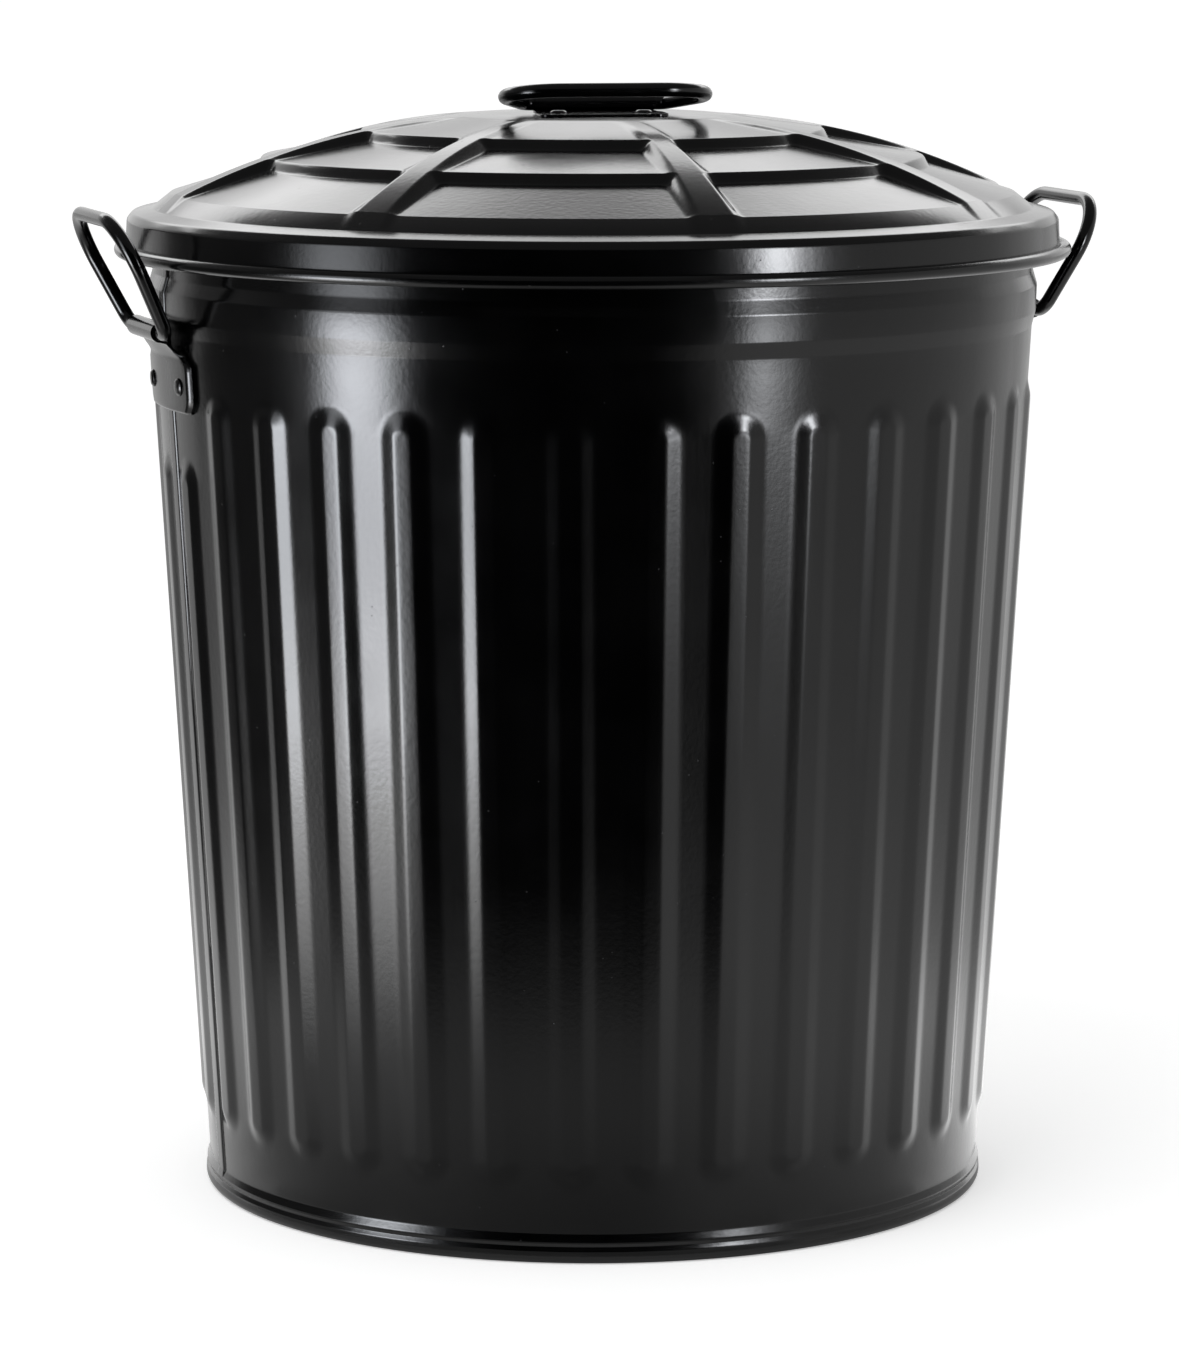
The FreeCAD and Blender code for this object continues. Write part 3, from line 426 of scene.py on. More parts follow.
def lid_height(radius, bearing):
    """Height of the lid's outside at a radius and a bearing from the middle of a sector."""
    sector = 360.0 / SPOKES
    local = np.abs((bearing + sector / 2) % sector - sector / 2)
    half = np.radians((sector - SPOKE_ANGLE) / 2)
    side = (radius * np.sin(half - np.radians(local)) + 0.5) / SIDE_RUN
    height = above = dome(radius)
    for start, run, (r0, z0), (r1, z1) in TREADS:
        z0 = dome(r0) if z0 is None else z0
        floor = z0 + (radius - r0) * (z1 - z0) / (r1 - r0)
        inner = rounded_share(side, (radius - start) / run)
        outer = rounded_share(side, (TREADS_END - radius) / SIDE_RUN + 1.0)
        share = smooth_step(0.0, 1.0, np.minimum(inner, outer))
        height = height - (above - floor) * share
        above = floor
    return height


def lid_edge():
    """The lid's outside beyond the treads: slope, ledge and skirt down to the bead."""
    return filleted([
        (190.6, 452.35, 0), (198.6, 446.0, 2.2), (207.9, 443.9, 2.6),
        (210.2, 441.0, 2.6), (210.85, 428.0, 0)], step=9.0)


def lid_under_edge():
    """The same part of the lid's underside, from the bead up to the treads."""
    return filleted([
        (210.05, 428.4, 0), (209.4, 440.7, 1.8), (207.6, 443.1, 1.8),
        (198.4, 445.15, 1.6), (190.2, 451.6, 0)], step=12.0)


def lid_bearings():
    """Bearings from the middle of the first sector, close together at the spokes' sides."""
    sector = 360.0 / SPOKES
    edge = (sector - SPOKE_ANGLE) / 2
    bearings = []
    for k in range(SPOKES):
        base = k * sector
        bearings += [base + b for b in np.linspace(-edge + 6.4, edge - 6.4, 15)]
        for gap in (0.9, 0.5, 0.25, 0.0, -0.2, -0.4, -0.6, -0.8, -1.0, -1.25, -1.5, -1.8,
                    -2.1, -2.4, -2.8, -3.2, -3.7, -4.3, -5.0, -5.7):
            bearings += [base + edge + gap, base - edge - gap]
        bearings.append(base + edge + SPOKE_ANGLE / 2)
    return np.array(sorted(set(np.round(bearings, 4))))


def lid_shell():
    """The whole lid as one closed sheet: outside, rolled bead and underside."""
    bearings = lid_bearings()
    count = len(bearings)
    radii = np.concatenate([
        [3, 10, 20, 30, 36], np.arange(40, 57, 4.0), np.arange(57, 66, 1.0),
        np.arange(68, 100, 3.0), np.arange(101, 103.5, 0.8), np.arange(103.6, 107.8, 0.3),
        np.arange(108.2, 113, 0.8), np.arange(114, 145, 3.0), np.arange(146, 148.5, 0.8),
        np.arange(148.6, 152.8, 0.3), np.arange(153.3, 158, 0.8), np.arange(159, 181, 3.0),
        np.arange(182, 190.4, 0.7)])
    top = [np.stack([np.full(count, radius), lid_height(radius, bearings)], 1)
           for radius in radii]
    above_lowest = top[-1][:, 1] - top[-1][:, 1].min()

    def rings(line):
        """One ring for each point; near the treads it follows their uneven end."""
        return [np.stack([np.full(count, x),
                          z + above_lowest * smooth_step(198.0, 190.0, x)], 1)
                for x, z in line]

    bead = arc(BEAD_CENTRE, BEAD_RADIUS, 180, 180 - BEAD_TURN, step=18.0)[1:]
    inner_bead = arc(BEAD_CENTRE, BEAD_RADIUS - STEEL, 180 - BEAD_TURN, 180, step=18.0)
    under = [layer - np.array([0.0, STEEL]) for layer in top[::-1]]
    profile = np.array(top + rings(lid_edge()) + rings(bead) + rings(inner_bead)
                       + rings(lid_under_edge()) + under)
    angle = np.radians(bearings + LID_TURN)
    points = np.zeros((len(profile), count, 3))
    points[:, :, 0] = profile[:, :, 0] * np.sin(angle)
    points[:, :, 1] = -profile[:, :, 0] * np.cos(angle)
    points[:, :, 2] = profile[:, :, 1]
    flat = list(points.reshape(-1, 3))
    faces = [f[::-1] for f in ring_faces(len(profile), count, False, True)]
    top_centre = len(flat)
    flat.append(np.array([0, 0, CROWN]))
    under_centre = len(flat)
    flat.append(np.array([0, 0, CROWN - STEEL]))
    last = (len(profile) - 1) * count
    for c in range(count):
        c2 = (c + 1) % count
        faces.append((top_centre, c, c2))
        faces.append((under_centre, last + c2, last + c))
    return build_mesh("lid_panel", flat, faces, PAINT, "lid", ["lid_shell"], smooth=50)


# ---------------------------------------------------------------- rods, ears, clip, rivets

ROD = 3.175
SHEET = 1.2                    # the ears' and the clip's steel
ROLL = ROD + 0.08 + SHEET / 2  # middle of the sheet rolled round a rod
GRIP_REACH = 55.5
SIDE_LOOP = {"bend": 8.0, "bend_x": 27.4, "corner": 21.0, "corner_x": 21.3}
LID_LOOP = {"bend": 5.5, "bend_x": 28.6, "corner": 23.0, "corner_x": 21.8}
SIDE_LEAN = 26.0
LID_LOOP_RISE = 8.5

EAR_HINGE = (207.0, 395.5)     # radius and height
EAR_LOW = 359.5
EAR_HIGH = 386.0
EAR_STANDOFF = 2.5             # from the wall to the middle of the ear's sheet
EAR_CORNER = 8.0
EAR_HALF_WIDTH = 34.0
EAR_BARREL_HALF = 22.0
EAR_RIVET_BEARING = 6.5
EAR_RIVET_HEIGHT = 371.6
EAR_FACE = 3.12                # from the wall to under an ear rivet's head

CLIP_HINGE = (-4.0, 492.0)     # y and height before the clip is turned
CLIP_FRONT = -38.0
CLIP_CORNER = 5.0
CLIP_HALF_WIDTH = 29.0
CLIP_BARREL_HALF = 27.5
CLIP_RIVET = (19.3, -24.0)
CLIP_FLOOR = CROWN + 0.02


def loop_half(bend, bend_x, corner, corner_x):
    """Half of a loop's middle line, from its hinge bar's cut end to the grip's middle."""
    low = np.array([bend_x, bend])
    high = np.array([corner_x, GRIP_REACH - corner])
    apart = high - low
    tilt = math.atan2(apart[1], apart[0]) + math.asin(
        (bend - corner) / np.linalg.norm(apart))
    turn = math.degrees(math.atan2(-math.cos(tilt), math.sin(tilt)))
    return np.concatenate([
        [[0.4, 0.0], [14.0, 0.0]], arc(low, bend, -90, turn, 8.0),
        arc(high, corner, turn, 90, 6.0), [[0.0, GRIP_REACH]]])


def loop_line(sizes):
    half = loop_half(**sizes)
    other = half[::-1][1:].copy()
    other[:, 0] *= -1
    return np.concatenate([half, other])


def rod_loop(name, sizes, place, node_name):
    """A bent round rod: x along the hinge, z up the loop, its two cut ends in the barrel."""
    line = loop_line(sizes)
    ahead = np.gradient(line, axis=0)
    ahead /= np.linalg.norm(ahead, axis=1)[:, None]
    side = np.stack([ahead[:, 1], -ahead[:, 0]], axis=1)
    rows = [(spot, across, ROD) for spot, across in zip(line, side)]
    rows = [(line[0], side[0], ROD * 0.86), *rows, (line[-1], side[-1], ROD * 0.86)]
    around = 28
    points = []
    for spot, across, radius in rows:
        for a in np.linspace(0, 2 * math.pi, around, endpoint=False):
            flat = spot + across * radius * math.cos(a)
            points.append((flat[0], radius * math.sin(a), flat[1]))
    return build_mesh(name, moved(points, place), capped_faces(len(rows), around), ROD_PAINT,
                      node_name, [node_name], smooth=40)


def side_place(bearing, spot=(0, 0, 0)):
    """Local x runs along the hinge, local z up the wall, local y into the can."""
    turn = Matrix.Rotation(math.radians(bearing), 4, "Z")
    return turn @ Matrix.Translation(Vector(spot))


def handle(side, bearing):
    lean = Matrix.Rotation(math.radians(SIDE_LEAN), 4, "X")
    place = side_place(bearing, (0, -EAR_HINGE[0], EAR_HINGE[1])) @ lean
    return rod_loop("side_handle_" + side, SIDE_LOOP, place, "handle_" + side)


def sheet_piece(name, grid, place, body, nodes):
    """A bent sheet from a grid of its middle surface, with rounded edges."""
    grid = np.asarray(grid, float)
    rows, columns = grid.shape[:2]
    along = np.gradient(grid, axis=0)
    across = np.gradient(grid, axis=1)
    normal = np.cross(across, along)
    normal /= np.linalg.norm(normal, axis=2)[:, :, None] + 1e-12
    front = grid + normal * SHEET / 2
    back = grid - normal * SHEET / 2
    count = rows * columns
    points = np.concatenate([front.reshape(-1, 3), back.reshape(-1, 3)])
    faces = ring_faces(rows, columns, False, False)
    faces += [tuple(count + i for i in face[::-1]) for face in faces]
    border = [(0, c) for c in range(columns)]
    border += [(r, columns - 1) for r in range(1, rows)]
    border += [(rows - 1, c) for c in range(columns - 2, -1, -1)]
    border += [(r, 0) for r in range(rows - 2, 0, -1)]
    ids = [r * columns + c for r, c in border]
    for i, here in enumerate(ids):
        there = ids[(i + 1) % len(ids)]
        faces.append((there, here, count + here, count + there))
    piece = build_mesh(name, moved(points, place), faces, PAINT, body, nodes, smooth=50)
    soften = piece.modifiers.new("edges", "BEVEL")
    soften.width = 0.22 * MM
    soften.segments = 2
    soften.limit_method = "ANGLE"
    soften.angle_limit = math.radians(60)
    return piece


def ear_half_width(radius, z):
    """Half of an ear's width at a place along its sheet: plate, shoulders, then barrel."""
    if z < EAR_LOW + EAR_CORNER and radius < 202.5:
        return EAR_HALF_WIDTH - corner_inset(EAR_LOW + EAR_CORNER - z, EAR_CORNER, 7.9)
    if z < EAR_HIGH - 6.0 or radius < 201.6 and z < EAR_HIGH - 4:
        return EAR_HALF_WIDTH
    if radius > 204.0 or z > 391.5:
        return EAR_BARREL_HALF
    share = min(1.0, max(0.0, (z - (EAR_HIGH - 6.0)) / 9.0))
    return EAR_HALF_WIDTH + (EAR_BARREL_HALF - EAR_HALF_WIDTH) * share


def ear(side, bearing):
    """A pressed plate on the wall whose top rolls into a barrel round the hinge bar."""
    foot = wall_radius(EAR_LOW)
    path = divided(filleted([
        (foot + 0.25, EAR_LOW + 0.6, 0), (foot + EAR_STANDOFF, EAR_LOW + 0.75, 0.9),
        (wall_radius(384.0) + EAR_STANDOFF, 384.0, 5.0), (204.0, 390.9, 2.0),
        (EAR_HINGE[0] + 0.1, EAR_HINGE[1] - ROLL, 0)], step=14.0), 2.0)
    grid = []
    for r, z in np.concatenate([path, arc(EAR_HINGE, ROLL, -88, 215, 10.0)]):
        width = ear_half_width(r, z)
        # The plate bends with the wall; the barrel is straight.
        bent = min(1.0, max(0.0, (205.0 - r) / 4.0)) if z < 396 else 0.0
        if r > 203.0:
            bent *= 0.5
        row = []
        for u in (-1, -0.985, -0.965, -0.94, -0.9, -0.8, -0.6, -0.4, -0.2, 0,
                  0.2, 0.4, 0.6, 0.8, 0.9, 0.94, 0.965, 0.985, 1):
            x = u * width
            radial = r - (1 - math.cos(x / 200.0)) * 200.0 * bent
            if width > EAR_BARREL_HALF + 4 and z < 389:
                edge = max(0.0, (abs(u) - 0.94) / 0.06)
                radial -= (EAR_STANDOFF - 0.7) * smooth_step(0.0, 0.8, edge)
            row.append((x, -radial, z))
        grid.append(row)
    return sheet_piece("ear_plate_" + side, grid, side_place(bearing), "can",
                       ["handle_ear_" + side])


def rivet(name, place, body, node_name, tail):
    """A domed head, its shank and the flattened tail, which starts at a depth."""
    head = 4.0
    proud = 1.5
    line = filleted([
        (0.0, tail, 0), (3.3, tail, 0.5), (3.8, tail + 1.1, 0.1), (2.3, tail + 1.1, 0),
        (2.3, 0.02, 0), (head, 0.02, 0.15), (head - 0.15, 0.5, 0.4),
        (head - 1.2, proud * 0.86, 1.4), (0.0, proud, 0)], step=12.0)
    around = 28
    points = []
    for r, z in line:
        for a in np.linspace(0, 2 * math.pi, around, endpoint=False):
            points.append((max(r, 0.01) * math.cos(a), max(r, 0.01) * math.sin(a), z))
    return build_mesh(name, moved(points, place), capped_faces(len(line), around), ROD_PAINT,
                      body, [node_name], smooth=40)


def ear_rivets():
    tilt = math.atan(WALL_SLOPE)
    for side, middle, ends in (("left", -90, ("front", "rear")),
                               ("right", 90, ("rear", "front"))):
        for end, way in zip(ends, (1, -1)):
            bearing = middle + way * EAR_RIVET_BEARING
            outer = wall_radius(EAR_RIVET_HEIGHT) + EAR_FACE
            height = EAR_RIVET_HEIGHT - EAR_FACE * math.sin(tilt)
            place = (Matrix.Rotation(math.radians(bearing), 4, "Z")
                     @ Matrix.Translation((0, -outer, height))
                     @ Matrix.Rotation(math.pi / 2 + tilt, 4, "X"))
            name = side + "_" + end
            rivet("rivet_" + name, place, "can", "ear_rivet_" + name, -5.06)


def clip_place(spot=(0, 0, 0)):
    return Matrix.Rotation(math.radians(CLIP_TURN), 4, "Z") @ Matrix.Translation(Vector(spot))


def lid_clip():
    """The plate on the crown; its back edge rolls up round the lid handle's bar."""
    barrel = arc(CLIP_HINGE, ROLL, -92, 205, 8.0)
    path = divided(np.array([(CLIP_FRONT, CLIP_FLOOR + SHEET / 2), barrel[0]]), 1.2)
    grid = []
    for y, z in np.concatenate([path, barrel[1:]]):
        front = max(0.0, CLIP_FRONT + CLIP_CORNER - y)
        half_width = CLIP_HALF_WIDTH - corner_inset(front, CLIP_CORNER, 4.95)
        narrowed = min(1.0, max(0.0, (y + 17.0) / 3.0))
        half_width -= (CLIP_HALF_WIDTH - CLIP_BARREL_HALF) * narrowed
        grid.append([(u * half_width, y, z) for u in (
            -1, -0.985, -0.96, -0.92, -0.8, -0.6, -0.4, -0.2, 0, 0.2, 0.4, 0.6, 0.8,
            0.92, 0.96, 0.985, 1)])
    return sheet_piece("clip_plate", grid, clip_place(), "lid", ["lid_handle_clip"])


def lid_rivets():
    for name, side in (("left", -1), ("right", 1)):
        place = clip_place((side * CLIP_RIVET[0], CLIP_RIVET[1], CLIP_FLOOR + SHEET + 0.02))
        rivet("clip_rivet_" + name, place, "lid", "lid_rivet_" + name, -3.14)


def lid_handle():
    """The top loop, resting forward over the clip's plate."""
    lay = Matrix.Rotation(math.radians(90.0 - LID_LOOP_RISE), 4, "X")
    return rod_loop("top_handle", LID_LOOP, clip_place((0, *CLIP_HINGE)) @ lay, "lid_handle")


can_wall()
lid_shell()
for name, bearing in (("left", -90.0), ("right", 90.0)):
    handle(name, bearing)
    ear(name, bearing)
ear_rivets()
lid_clip()
lid_rivets()
lid_handle()

for name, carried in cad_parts.items():
    made = carried if isinstance(carried, bpy.types.Object) else bpy.data.objects.get(name)
    if made is None or made.type != "MESH":
        continue
    look = WIRE if "wire" in name else PAINT
    for slot in made.material_slots:
        slot.material = look


# ---------------------------------------------------------------- camera, lights, stage

def photo_spot(bearing, distance, height):
    """A place at a bearing seen from the photo's camera (0 is towards it, + is right)."""
    angle = math.radians(bearing + PHOTO_BEARING)
    return Vector((distance * math.sin(angle), -distance * math.cos(angle), height))


PHOTO_SIZE = (1181, 1349)
FOCAL_PIXELS = 5476.4   # fitted to the rims' outlines, as are the four below
CAMERA_DISTANCE = 2.4813
CAMERA_HEIGHT = 0.6063
CAMERA_DOWN = 8.60
CAMERA_ASIDE = 0.023
SENSOR = 36.0


def make_camera():
    data = bpy.data.cameras.new("camera")
    camera = bpy.data.objects.new("camera", data)
    bpy.context.scene.collection.objects.link(camera)
    data.sensor_fit = "VERTICAL"
    data.sensor_height = SENSOR
    data.sensor_width = SENSOR * PHOTO_SIZE[0] / PHOTO_SIZE[1]
    data.lens = FOCAL_PIXELS / PHOTO_SIZE[1] * SENSOR
    data.clip_end = 50.0
    camera.location = photo_spot(0, CAMERA_DISTANCE, CAMERA_HEIGHT)
    pitch = math.radians(90 - CAMERA_DOWN)
    yaw = math.radians(PHOTO_BEARING) + math.radians(CAMERA_ASIDE)
    camera.rotation_euler = (pitch, 0, yaw)
    bpy.context.scene.camera = camera


def glow_sheet(name, points, faces, values, adds=False):
    """A stage surface that only gloss reflects; each point glows with its own value.

    With adds, it adds its glow to what lies behind it instead of hiding that.
    """
    mesh = bpy.data.meshes.new(name)
    mesh.from_pydata([tuple(p) for p in points], [], faces)
    glow = mesh.color_attributes.new("glow", "FLOAT_COLOR", "POINT")
    colours = np.ones((len(points), 4))
    colours[:, :3] = values
    glow.data.foreach_set("color", colours.ravel())
    material = bpy.data.materials.new(name)
    material.use_nodes = True
    tree = material.node_tree
    for old in list(tree.nodes):
        tree.nodes.remove(old)
    out = tree.nodes.new("ShaderNodeOutputMaterial")
    light = tree.nodes.new("ShaderNodeEmission")
    source = tree.nodes.new("ShaderNodeAttribute")
    source.attribute_name = "glow"
    tree.links.new(source.outputs["Color"], light.inputs["Color"])
    if adds:
        clear = tree.nodes.new("ShaderNodeBsdfTransparent")
        both = tree.nodes.new("ShaderNodeAddShader")
        tree.links.new(clear.outputs["BSDF"], both.inputs[0])
        tree.links.new(light.outputs["Emission"], both.inputs[1])
        tree.links.new(both.outputs["Shader"], out.inputs["Surface"])
    else:
        tree.links.new(light.outputs["Emission"], out.inputs["Surface"])
    mesh.materials.append(material)
    piece = bpy.data.objects.new(name, mesh)
    bpy.context.scene.collection.objects.link(piece)
    piece.rotation_euler.z = math.radians(PHOTO_BEARING)
    piece.visible_camera = False
    piece.visible_diffuse = False
    piece.visible_shadow = False
    piece.visible_transmission = False


def even(level):
    return (level, level, level)


def stage_spot(bearing, distance, height):
    """A stage point before the stage turns to the photo's side of the can."""
    angle = math.radians(bearing)
    return (distance * math.sin(angle), -distance * math.cos(angle), height)


MEAN_WALL = 0.187
GLOW_REACH = 2.62
CEILING = 1.7


def bounce(bearing, distance):
    """Which way and how far a reflection leaves the wall to reach a spot on the floor."""
    spot = np.array([distance * math.sin(math.radians(bearing)),
                     distance * math.cos(math.radians(bearing))])
    way = bearing
    for _ in range(30):
        half = math.radians(way / 2)
        wall = MEAN_WALL * np.array([math.sin(half), math.cos(half)])
        step = math.degrees(math.atan2(spot[0] - wall[0], spot[1] - wall[1]))
        step = (step - way + 180) % 360 - 180
        way += 0.5 * step
    return way, float(np.linalg.norm(spot - wall))


# How bright the floor looks in the paint: by direction, at each distance from the wall.
# Painted light in this table: the high values on the left are the left softbox's pool of light
# on the floor, and the dimmer values nearest the wall are the can's painted shadow.
FLOOR_REACH = (0.05, 0.17, 0.25, 0.32, 0.40, 0.49, 0.68, 0.90, 1.40, 2.50)
FLOOR_GLOW = (
    (-180, (1.0, 1.2, 1.3, 1.4, 1.3, 1.2, 1.0, 0.9, 0.8, 0.8)),
    (-129, (0.9, 1.2, 1.3, 1.4, 1.3, 1.2, 1.0, 0.8, 0.6, 0.6)),
    (-120, (0.7, 0.8, 0.9, 1.1, 1.2, 1.2, 0.70, 0.16, 0.08, 0.08)),
    (-110, (0.60, 0.62, 0.67, 0.72, 0.40, 0.12, 0.07, 0.06, 0.06, 0.06)),
    (-98, (0.50, 0.60, 0.66, 0.66, 0.55, 0.30, 0.10, 0.08, 0.08, 0.08)),
    (-86, (0.40, 0.62, 0.68, 0.70, 0.60, 0.50, 0.30, 0.15, 0.1, 0.1)),
    (-80, (0.38, 0.62, 0.70, 0.85, 1.0, 1.3, 1.6, 1.6, 0.4, 0.2)),
    (-73, (0.36, 0.62, 0.78, 1.27, 2.2, 3.0, 5.5, 6.0, 0.4, 0.2)),
    (-63, (0.35, 0.60, 0.73, 1.25, 2.6, 4.6, 7.2, 7.5, 0.4, 0.2)),
    (-55, (0.34, 0.58, 0.66, 0.90, 1.5, 2.6, 3.5, 3.5, 0.2, 0.1)),
    (-50, (0.33, 0.55, 0.60, 0.60, 0.60, 0.70, 0.8, 0.7, 0.05, 0.02)),
    (-43, (0.32, 0.48, 0.48, 0.44, 0.34, 0.18, 0.05, 0.0, 0.0, 0.0)),
    (-30, (0.27, 0.42, 0.42, 0.32, 0.12, 0.02, 0.0, 0.0, 0.0, 0.0)),
    (0, (0.24, 0.40, 0.42, 0.30, 0.08, 0.0, 0.0, 0.0, 0.0, 0.0)),
    (16, (0.26, 0.42, 0.46, 0.40, 0.20, 0.03, 0.0, 0.0, 0.0, 0.0)),
    (26, (0.34, 0.52, 0.62, 0.58, 0.45, 0.28, 0.12, 0.06, 0.03, 0.0)),
    (36, (0.40, 0.60, 0.70, 0.75, 0.82, 0.85, 0.70, 0.65, 0.6, 0.35)),
    (56, (0.42, 0.75, 0.85, 0.89, 0.90, 0.88, 0.80, 0.68, 0.6, 0.5)),
    (100, (0.60, 0.80, 0.90, 0.90, 0.85, 0.80, 0.72, 0.66, 0.60, 0.60)),
    (117, (0.90, 1.20, 1.40, 1.60, 1.40, 1.00, 0.76, 0.60, 0.60, 0.65)),
    (141, (1.40, 2.00, 2.00, 1.90, 1.60, 1.20, 1.00, 0.85, 0.75, 0.75)),
    (180, (1.2, 1.6, 1.7, 1.7, 1.5, 1.3, 1.0, 0.9, 0.8, 0.8)),
)

# How bright the studio's wall looks: by bearing, at the floor and at the top.
WALL_GLOW = ((-140, 0.9, 1.0), (-128, 0.6, 0.7), (-121, 0.08, 0.25), (-84, 0.06, 0.12),
             (-70, 0.1, 0.1), (-50, 0.0, 0.0), (28, 0.0, 0.0), (40, 0.25, 0.2),
             (60, 0.5, 0.4), (112, 0.55, 0.5), (122, 0.7, 0.8), (140, 0.8, 1.0))


def glow_floor():
    """The floor as the paint shows it."""
    distances = np.array([0.19, 0.22, 0.26, 0.30, 0.34, 0.38, 0.42, 0.46, 0.5, 0.54, 0.58,
                          0.62, 0.66, 0.7, 0.75, 0.8, 0.86, 0.92, 0.98, 1.05, 1.15, 1.3,
                          1.5, 1.8, 2.1, 2.4, GLOW_REACH])
    bearings = np.arange(-180, 180, 3.0)
    ways = np.array([row[0] for row in FLOOR_GLOW], float)
    table = np.array([row[1] for row in FLOOR_GLOW], float)
    points, values = [], []
    for distance in distances:
        for bearing in bearings:
            way, run = bounce(bearing, distance)
            column = [np.interp(way, ways, table[:, k]) for k in range(len(FLOOR_REACH))]
            level = float(np.interp(run, FLOOR_REACH, column))
            points.append(stage_spot(bearing, distance, 0.001))
            values.append(even(level))
    faces = ring_faces(len(distances), len(bearings), False, True)
    glow_sheet("floor_glow", points, faces, np.array(values))


def glow_wall():
    """The studio's wall as the paint shows it."""
    bearings = np.arange(-140, 140.1, 2.0)
    ways = [row[0] for row in WALL_GLOW]
    points, values = [], []
    for height, place in ((0.0, 0), (0.5, 0), (1.0, 1), (CEILING, 1)):
        for bearing in bearings:
            level = np.interp(bearing, ways, [row[1 + place] for row in WALL_GLOW])
            points.append(stage_spot(bearing, GLOW_REACH, height))
            values.append(even(level))
    faces = ring_faces(4, len(bearings), False, False)
    glow_sheet("wall_glow", points, faces, np.array(values))


def glow_ceiling():
    """A dim ceiling that ends behind the can, where it grows brighter."""
    points = [(-2.7, -2.8, CEILING), (2.7, -2.8, CEILING), (2.7, 0.9, CEILING),
              (-2.7, 0.9, CEILING), (2.7, 1.5, CEILING), (-2.7, 1.5, CEILING)]
    values = [even(level) for level in (0.12, 0.12, 0.14, 0.14, 0.6, 0.6)]
    glow_sheet("ceiling_glow", points, [(0, 1, 2, 3), (3, 2, 4, 5)], np.array(values))


SOFTBOX_DISTANCE = 0.96


def softbox(name, middle, ways, heights, tint):
    """A soft light standing by the can: its glow by bearing and by height."""
    bearings = np.linspace(ways[0][0], ways[-1][0], 41)
    levels = np.linspace(0.0, heights[-1][0], 49)
    points, values = [], []
    for z in levels:
        for bearing in bearings:
            level = (np.interp(bearing, [w[0] for w in ways], [w[1] for w in ways])
                     * np.interp(z, [h[0] for h in heights], [h[1] for h in heights]))
            points.append(stage_spot(bearing + middle, SOFTBOX_DISTANCE, z))
            values.append(level * np.array(tint))
    faces = ring_faces(len(levels), len(bearings), False, False)
    glow_sheet(name, points, faces, np.array(values), adds=True)


def back_glow():
    """More light high up behind the can, stronger towards the two sides."""
    points, values = [], []
    bearings = np.arange(90, 270.1, 5.0)
    for height, share in ((1.2, 0.0), (1.6, 2.4), (2.5, 2.4), (3.0, 0.8), (3.5, 0.0)):
        for bearing in bearings:
            level = share * np.interp(bearing, (90, 105, 125, 150, 180, 210, 235, 255, 270),
                                      (0.0, 0.6, 1.4, 1.0, 0.6, 1.0, 1.6, 0.8, 0.0))
            points.append(stage_spot(bearing, 2.7, height))
            values.append(even(level))
    glow_sheet("back_glow", points, ring_faces(5, len(bearings), False, False),
               np.array(values), adds=True)


def make_floor():
    """A plain pale floor that looks white to the camera but for the can's shadow."""
    material = bpy.data.materials.new("pale_floor")
    material.use_nodes = True
    tree = material.node_tree
    shader = tree.nodes["Principled BSDF"]
    shader.inputs["Base Color"].default_value = (0.86, 0.86, 0.86, 1)
    shader.inputs["Roughness"].default_value = 0.9
    shader.inputs["Specular IOR Level"].default_value = 0.1
    shader.inputs["Emission Color"].default_value = (1, 1, 1, 1)
    path = tree.nodes.new("ShaderNodeLightPath")
    lift = combine(tree, "MULTIPLY", path.outputs["Is Camera Ray"], 0.42)
    tree.links.new(lift, shader.inputs["Emission Strength"])
    mesh = bpy.data.meshes.new("floor")
    size = 60.0
    mesh.from_pydata([(-size, -size, 0), (size, -size, 0), (size, size, 0),
                      (-size, size, 0)], [], [(0, 1, 2, 3)])
    mesh.materials.append(material)
    floor = bpy.data.objects.new("floor", mesh)
    floor.location.z = -0.0002
    bpy.context.scene.collection.objects.link(floor)


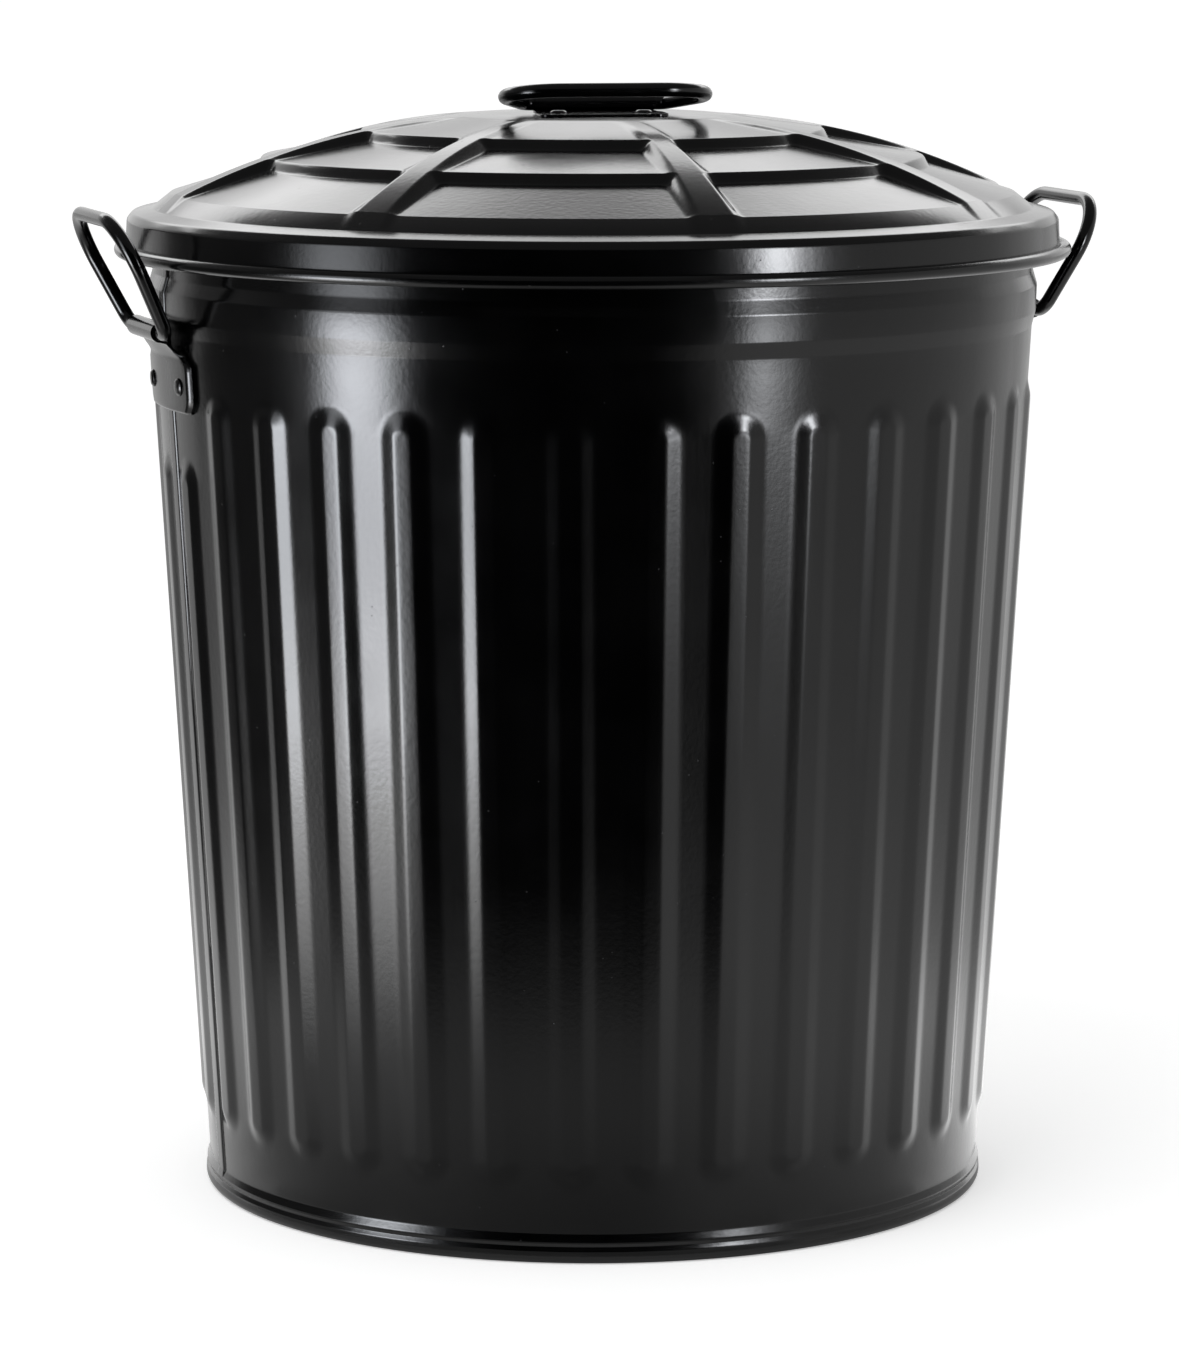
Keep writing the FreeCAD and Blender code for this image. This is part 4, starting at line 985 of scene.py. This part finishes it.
def make_world():
    """Soft even light, and plain white where it is seen, reflected or seen through."""
    world = bpy.data.worlds.new("studio")
    bpy.context.scene.world = world
    world.use_nodes = True
    tree = world.node_tree
    for old in list(tree.nodes):
        tree.nodes.remove(old)
    out = tree.nodes.new("ShaderNodeOutputWorld")
    soft = node(tree, "ShaderNodeBackground", Strength=0.7)
    white = node(tree, "ShaderNodeBackground", Strength=1.0)
    for light in (soft, white):
        light.inputs["Color"].default_value = (1, 1, 1, 1)
    path = tree.nodes.new("ShaderNodeLightPath")
    seen = combine(tree, "MAXIMUM", path.outputs["Is Camera Ray"],
                   path.outputs["Is Glossy Ray"])
    seen = combine(tree, "MAXIMUM", seen, path.outputs["Is Transmission Ray"])
    mix = tree.nodes.new("ShaderNodeMixShader")
    tree.links.new(seen, mix.inputs["Fac"])
    tree.links.new(soft.outputs["Background"], mix.inputs[1])
    tree.links.new(white.outputs["Background"], mix.inputs[2])
    tree.links.new(mix.outputs["Shader"], out.inputs["Surface"])


def make_stage():
    """Everything round the can; the tints are the softboxes' full brightness."""
    make_floor()
    make_world()
    glow_floor()
    glow_wall()
    softbox("left_softbox", -58.3,
            ((-13, 0), (-11, 0.04), (-8, 0.35), (-4, 0.85), (0, 1), (4, 0.95), (8, 0.7),
             (11, 0.3), (14, 0.05), (16, 0)),
            ((0.0, 0.55), (0.11, 0.58), (0.17, 0.68), (0.246, 1.0), (0.30, 0.75),
             (0.367, 0.20), (0.455, 0.22), (0.6, 0.12), (0.8, 0.0)), (16.6, 17.2, 18.2))
    softbox("right_softbox", 40.0,
            ((-9, 0), (-6.5, 0.06), (-4, 0.5), (-1.5, 1), (1.5, 0.95), (4, 0.5), (8, 0.12),
             (12, 0)),
            ((0.0, 0.0), (0.108, 0.03), (0.172, 0.1), (0.246, 0.42), (0.30, 0.28),
             (0.367, 0.12), (0.42, 0.6), (0.455, 1.0), (0.53, 1.0), (0.62, 0.5), (0.8, 0.0)),
            (23.5, 24.0, 25.0))
    back_glow()
    glow_ceiling()


def make_key():
    """A large soft lamp up to the left, which gloss doesn't show."""
    data = bpy.data.lights.new("key", "AREA")
    data.energy = 18.0
    data.size = 1.6
    key = bpy.data.objects.new("key", data)
    bpy.context.scene.collection.objects.link(key)
    key.location = photo_spot(-35, 1.6, 2.2)
    aim = Vector((0, 0, 0.25)) - key.location
    key.rotation_euler = aim.to_track_quat("-Z", "Y").to_euler()
    key.visible_camera = False
    key.visible_glossy = False


make_camera()
make_stage()
make_key()
bpy.context.scene.view_settings.view_transform = "Standard"
